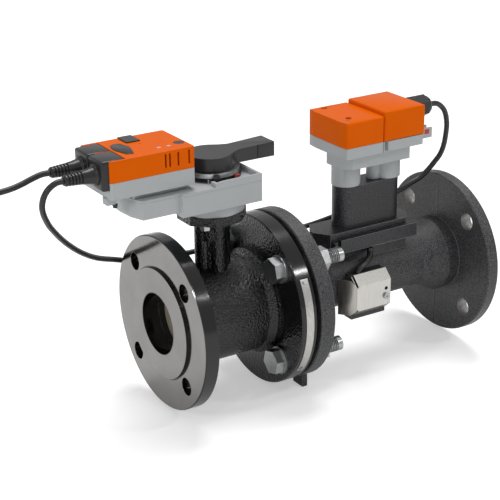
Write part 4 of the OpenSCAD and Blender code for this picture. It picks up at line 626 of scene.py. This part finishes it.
def make_piece(name, shape, material, slot, *nodes, body="valve"):
    # Makes an object of a finished bmesh, and lets it ride on a body in place of the solids named
    mesh = bpy.data.meshes.new(name)
    shape.to_mesh(mesh)
    shape.free()
    mesh.materials.append(material)
    mesh.polygons.foreach_set("use_smooth", [True] * len(mesh.polygons))
    mesh.set_sharp_from_angle(angle=sharp_from)
    piece = bpy.data.objects.new(name, mesh)
    scene.collection.objects.link(piece)
    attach(piece, body)
    if nodes:
        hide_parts(*nodes)
    return piece


def merged_copy(node):
    # A CAD node's shape with its loose triangles joined and its flat faces made whole
    shape = bmesh.new()
    shape.from_mesh(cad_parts[node].data)
    bmesh.ops.remove_doubles(shape, verts=shape.verts, dist=0.002 * MM)
    bmesh.ops.dissolve_limit(shape, angle_limit=radians(1), verts=shape.verts, edges=shape.edges)
    return shape


def soften(shape, edges, radius, segments, clamp=False):
    # Rounds edges by a radius
    bmesh.ops.bevel(shape, geom=edges, offset=radius, segments=segments, profile=0.5, affect="EDGES",
                    material=-1, clamp_overlap=clamp)


def long_corners(shape, shortest):
    # The corners that are longer than a length, which leaves out the rims of small holes
    return [edge for edge in shape.edges if len(edge.link_faces) == 2
            and edge.calc_face_angle(0) > radians(30) and edge.calc_length() > shortest]


for node, radius, shortest, finish, slot, body in (
        ("low_cap", 1.6 * MM, 14 * MM, orange_abs, "orange_plastic", "valve"),
        ("drive_cap", 1.5 * MM, 20 * MM, orange_abs, "orange_plastic", "valve"),
        ("drive_housing", 0.8 * MM, 20 * MM, grey_abs, "grey_plastic", "valve"),
        ("gear_housing", 0.8 * MM, 15 * MM, grey_abs, "grey_plastic", "valve"),
        ("electronics_housing", 0.8 * MM, 10 * MM, grey_abs, "grey_plastic", "valve"),
        ("hand_lever", 1.2 * MM, 9 * MM, lever_abs, "black_plastic", "rotor")):
    moulding = merged_copy(node)
    soften(moulding, long_corners(moulding, shortest), radius, 3, clamp=True)
    make_piece("rounded_" + node, moulding, finish, slot, node, body=body)


# CABLE PLUGS
# Two black moulded plugs side by side in the actuator's end. Each has a block, a stepped neck and a
# ribbed boot that keeps the cable from kinking.
def block(low, high, radius=0, segments=3):
    # A block between two corners, all its edges rounded if a radius is given
    shape = bmesh.new()
    bmesh.ops.create_cube(shape, size=1)
    bmesh.ops.scale(shape, verts=shape.verts, vec=Vector(high) - Vector(low))
    bmesh.ops.translate(shape, verts=shape.verts, vec=(Vector(low) + Vector(high)) / 2)
    if radius:
        soften(shape, shape.edges[:], radius, segments)
    return shape


lathe_steps = 32


def lathe(shape, profile, centre):
    # Turns (distance along -X, radius) pairs about a line through the centre, as one closed skin
    ring = [shape.verts.new(Vector(centre) + Vector((-along, 0, radius))) for along, radius in profile]
    rim = [shape.edges.new(pair) for pair in zip(ring, ring[1:])]
    bmesh.ops.spin(shape, geom=ring + rim, cent=centre, axis=(1, 0, 0), angle=2 * pi, steps=lathe_steps,
                   use_merge=True)


# Distance and radius in millimetres down the neck, then the ribs, then the boot's end
boot_ribs = 5
rib_pitch = 3.3
rib_depth = 1.3
rib_taper = 0.22
boot_profile = [(-0.5, 0), (-0.5, 10.8), (1.6, 10.8), (2.4, 10), (3.2, 8.7), (9.5, 7.3), (14.5, 6.8),
                (15, 6.6)]
for k in range(boot_ribs):
    start = 15.4 + rib_pitch * k
    outer = 6.5 - rib_taper * k
    boot_profile += [(start, outer - rib_depth), (start + 0.9, outer - rib_depth), (start + 1.2, outer),
                     (start + 2.8, outer - 0.1)]
boot_profile += [(32.4, 4.9), (33.3, 4.4), (33.3, 0)]
plug_block = 25.5 * MM
plug_width = 28.5 * MM
cable_z = 178 * MM
for plug in ("sensor_plug", "supply_plug"):
    low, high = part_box(plug)
    side = (low[1] + high[1]) / 2
    neck_x = high[0] - plug_block
    moulding = block((neck_x, side - plug_width / 2, low[2]), (high[0], side + plug_width / 2, high[2]),
                     2.2 * MM, 4)
    lathe(moulding, [(along * MM, radius * MM) for along, radius in boot_profile], (neck_x, side, cable_z))
    bmesh.ops.recalc_face_normals(moulding, faces=moulding.faces)
    make_piece(plug + "_moulding", moulding, black_abs, "black_plastic", plug)


# COVER'S END FLAP
# The steel cover's left end, a flap of the same brushed sheet of 1 mm. It is bent back at a slant from
# the front face to the pipe, its corners cut off at the bends.
def plate(points, thickness):
    # A flat plate with this outline, its other face moved by a thickness vector
    shape = bmesh.new()
    outline = shape.faces.new([shape.verts.new(point) for point in points])
    other_face = bmesh.ops.extrude_face_region(shape, geom=[outline])["geom"]
    bmesh.ops.translate(shape, verts=[v for v in other_face if isinstance(v, bmesh.types.BMVert)],
                        vec=thickness)
    bmesh.ops.recalc_face_normals(shape, faces=shape.faces)
    return shape


flap_sheet = 1.0 * MM
flap_points = [(215.4, -50.2, 6.6), (215.4, -50.2, -21.6), (211.0, -44.6, -27.4), (202.6, -33.4, -27.4),
               (202.6, -33.4, 13.2), (211.0, -44.6, 13.2)]
flap = plate([(x * MM, y * MM, z * MM) for x, y, z in flap_points], (0.8 * flap_sheet, 0.6 * flap_sheet, 0))
soften(flap, flap.edges[:], 0.2 * MM, 2)
# The flap lies wholly below the cover's end_x, so all of it shows the cover's painted reflection tone
make_piece("cover_end_flap", flap, cover_steel, "stainless")


# MARKS ON THE ACTUATOR'S COVER
# A low black patch glued on the cover and a small moulded bump beside it. The cover's print is left out.
patch_height = 0.7 * MM  # of which 0.1 mm is sunk in the cover
patch_points = [(-37.8, 13.5), (-32.3, 16.3), (-26.0, 14.8), (-25.4, 8.1), (-22.8, 2.4), (-23.8, -4.2),
                (-28.8, -20.2), (-36.0, -19.0), (-40.6, -2.7), (-40.5, 4.9)]
cover_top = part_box("drive_cap")[1][2]
patch = plate([(x * MM, y * MM, cover_top - 0.1 * MM) for x, y in patch_points], (0, 0, patch_height))
soften(patch, [e for e in patch.edges if all(v.co.z > cover_top for v in e.verts)], 0.3 * MM, 2)
make_piece("cover_patch", patch, black_abs, "black_plastic")
bump = bmesh.new()
bmesh.ops.create_uvsphere(bump, u_segments=24, v_segments=12, radius=1.3 * MM)
bmesh.ops.scale(bump, verts=bump.verts, vec=(1, 1, 0.6))
bmesh.ops.translate(bump, verts=bump.verts, vec=(-9.1 * MM, 4.8 * MM, cover_top))
make_piece("cover_bump", bump, orange_abs, "orange_plastic")


# HIGH COVER, ITS LIP AND THE WEB UNDER IT
# The head's high orange cover is one smooth moulded block with a dimple. Its lip closes the groove
# beside the low cover, over a grey web of the housing.
low_cap_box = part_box("low_cap")
high_cap_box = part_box("high_cap")
high_cap_mould = block(high_cap_box[0], high_cap_box[1], 2 * MM, 4)
dimple = bmesh.ops.create_uvsphere(high_cap_mould, u_segments=16, v_segments=8, radius=1.1 * MM)["verts"]
dimple_place = ((high_cap_box[0][0] + high_cap_box[1][0]) / 2 - 8 * MM, 7 * MM, high_cap_box[1][2] - 0.7 * MM)
bmesh.ops.translate(high_cap_mould, verts=dimple, vec=dimple_place)
make_piece("high_cap_moulding", high_cap_mould, orange_abs, "orange_plastic", "high_cap")
lip_low = (low_cap_box[1][0] + 0.5 * MM, high_cap_box[0][1] + 0.8 * MM, high_cap_box[0][2])
lip_high = (high_cap_box[0][0] + 2 * MM, high_cap_box[1][1] - 0.8 * MM, high_cap_box[1][2] - 2.6 * MM)
make_piece("high_cap_lip", block(lip_low, lip_high, 1.2 * MM), orange_abs, "orange_plastic")
web_low = (lip_low[0], lip_low[1] + 0.4 * MM, lip_low[2] - 12.5 * MM)
web_high = (lip_high[0], lip_high[1] - 0.4 * MM, lip_low[2] - 0.3 * MM)
make_piece("housing_web", block(web_low, web_high, 0.5 * MM), grey_abs, "grey_plastic")


# INSERT OF THE RELEASE TAB
# A small red moulded block pressed into the grey tab, which marks the side to push.
tab_low, tab_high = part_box("release_tab")
insert_x = tab_high[0] - 7 * MM
insert_z = (tab_low[2] + tab_high[2]) / 2 + 1.5 * MM
make_piece("tab_insert", block((insert_x - 3 * MM, tab_low[1] - 0.5 * MM, insert_z - 2.5 * MM),
           (insert_x + 3 * MM, tab_low[1] + 1.5 * MM, insert_z + 2.5 * MM), 0.4 * MM),
           moulded_plastic("red_insert_abs", "#b32a22", "#c2352b", 0.35), "red_plastic")


# CABLE TIE
# A black nylon tie, pulled tight round the coil and closed by its lock.
tie_width = 4 * MM
tie_sheet = 0.9 * MM
bundle_z = -91.5 * MM
bundle_height = 13.2 * MM
lock_z = -83.6 * MM
bundle_in = coil_centre.x - (coil_radius - coil_pitch * coil_turns / 2) + lead_diameter / 2
bundle_out = coil_centre.x - coil_radius - lead_diameter / 2
tie = block((bundle_out, coil_centre.y - tie_width / 2, bundle_z - bundle_height / 2),
            (bundle_in, coil_centre.y + tie_width / 2, bundle_z + bundle_height / 2))
soften(tie, [e for e in tie.edges if abs(e.verts[0].co.y - e.verts[1].co.y) > MM], 2.6 * MM, 4)
bmesh.ops.delete(tie, geom=[f for f in tie.faces if abs(f.normal.y) > 0.9], context="FACES_ONLY")
bmesh.ops.recalc_face_normals(tie, faces=tie.faces)
bmesh.ops.solidify(tie, geom=tie.faces[:], thickness=tie_sheet)
lock = bmesh.ops.create_cube(tie, size=1)["verts"]
bmesh.ops.scale(tie, verts=lock, vec=(5 * MM, 5.4 * MM, 4 * MM))
bmesh.ops.translate(tie, verts=lock, vec=((bundle_in + bundle_out) / 2, coil_centre.y, lock_z))
nylon = moulded_plastic("black_nylon", "#1b1b1d", "#232325", 0.45)
make_piece("coil_tie", tie, nylon, "black_plastic")


# FOOT AND PEG OF THE ARM
# Under the drive box the gearing's grey arm ends in a moulded foot, with a black peg that locks it
# in the housing.
arm_foot = block((-62 * MM, -24 * MM, 147.5 * MM), (-52 * MM, -14 * MM, 155.2 * MM), 1 * MM)
make_piece("arm_foot", arm_foot, grey_abs, "grey_plastic")
peg = bmesh.new()
bmesh.ops.create_cone(peg, cap_ends=True, segments=24, radius1=2.2 * MM, radius2=2.6 * MM, depth=4 * MM)
bmesh.ops.translate(peg, verts=peg.verts, vec=(-52.5 * MM, -22 * MM, 145.8 * MM))
soften(peg, [e for e in peg.edges if abs(e.verts[0].co.z - e.verts[1].co.z) < 0.01 * MM], 0.4 * MM, 2)
make_piece("arm_peg", peg, black_abs, "black_plastic")
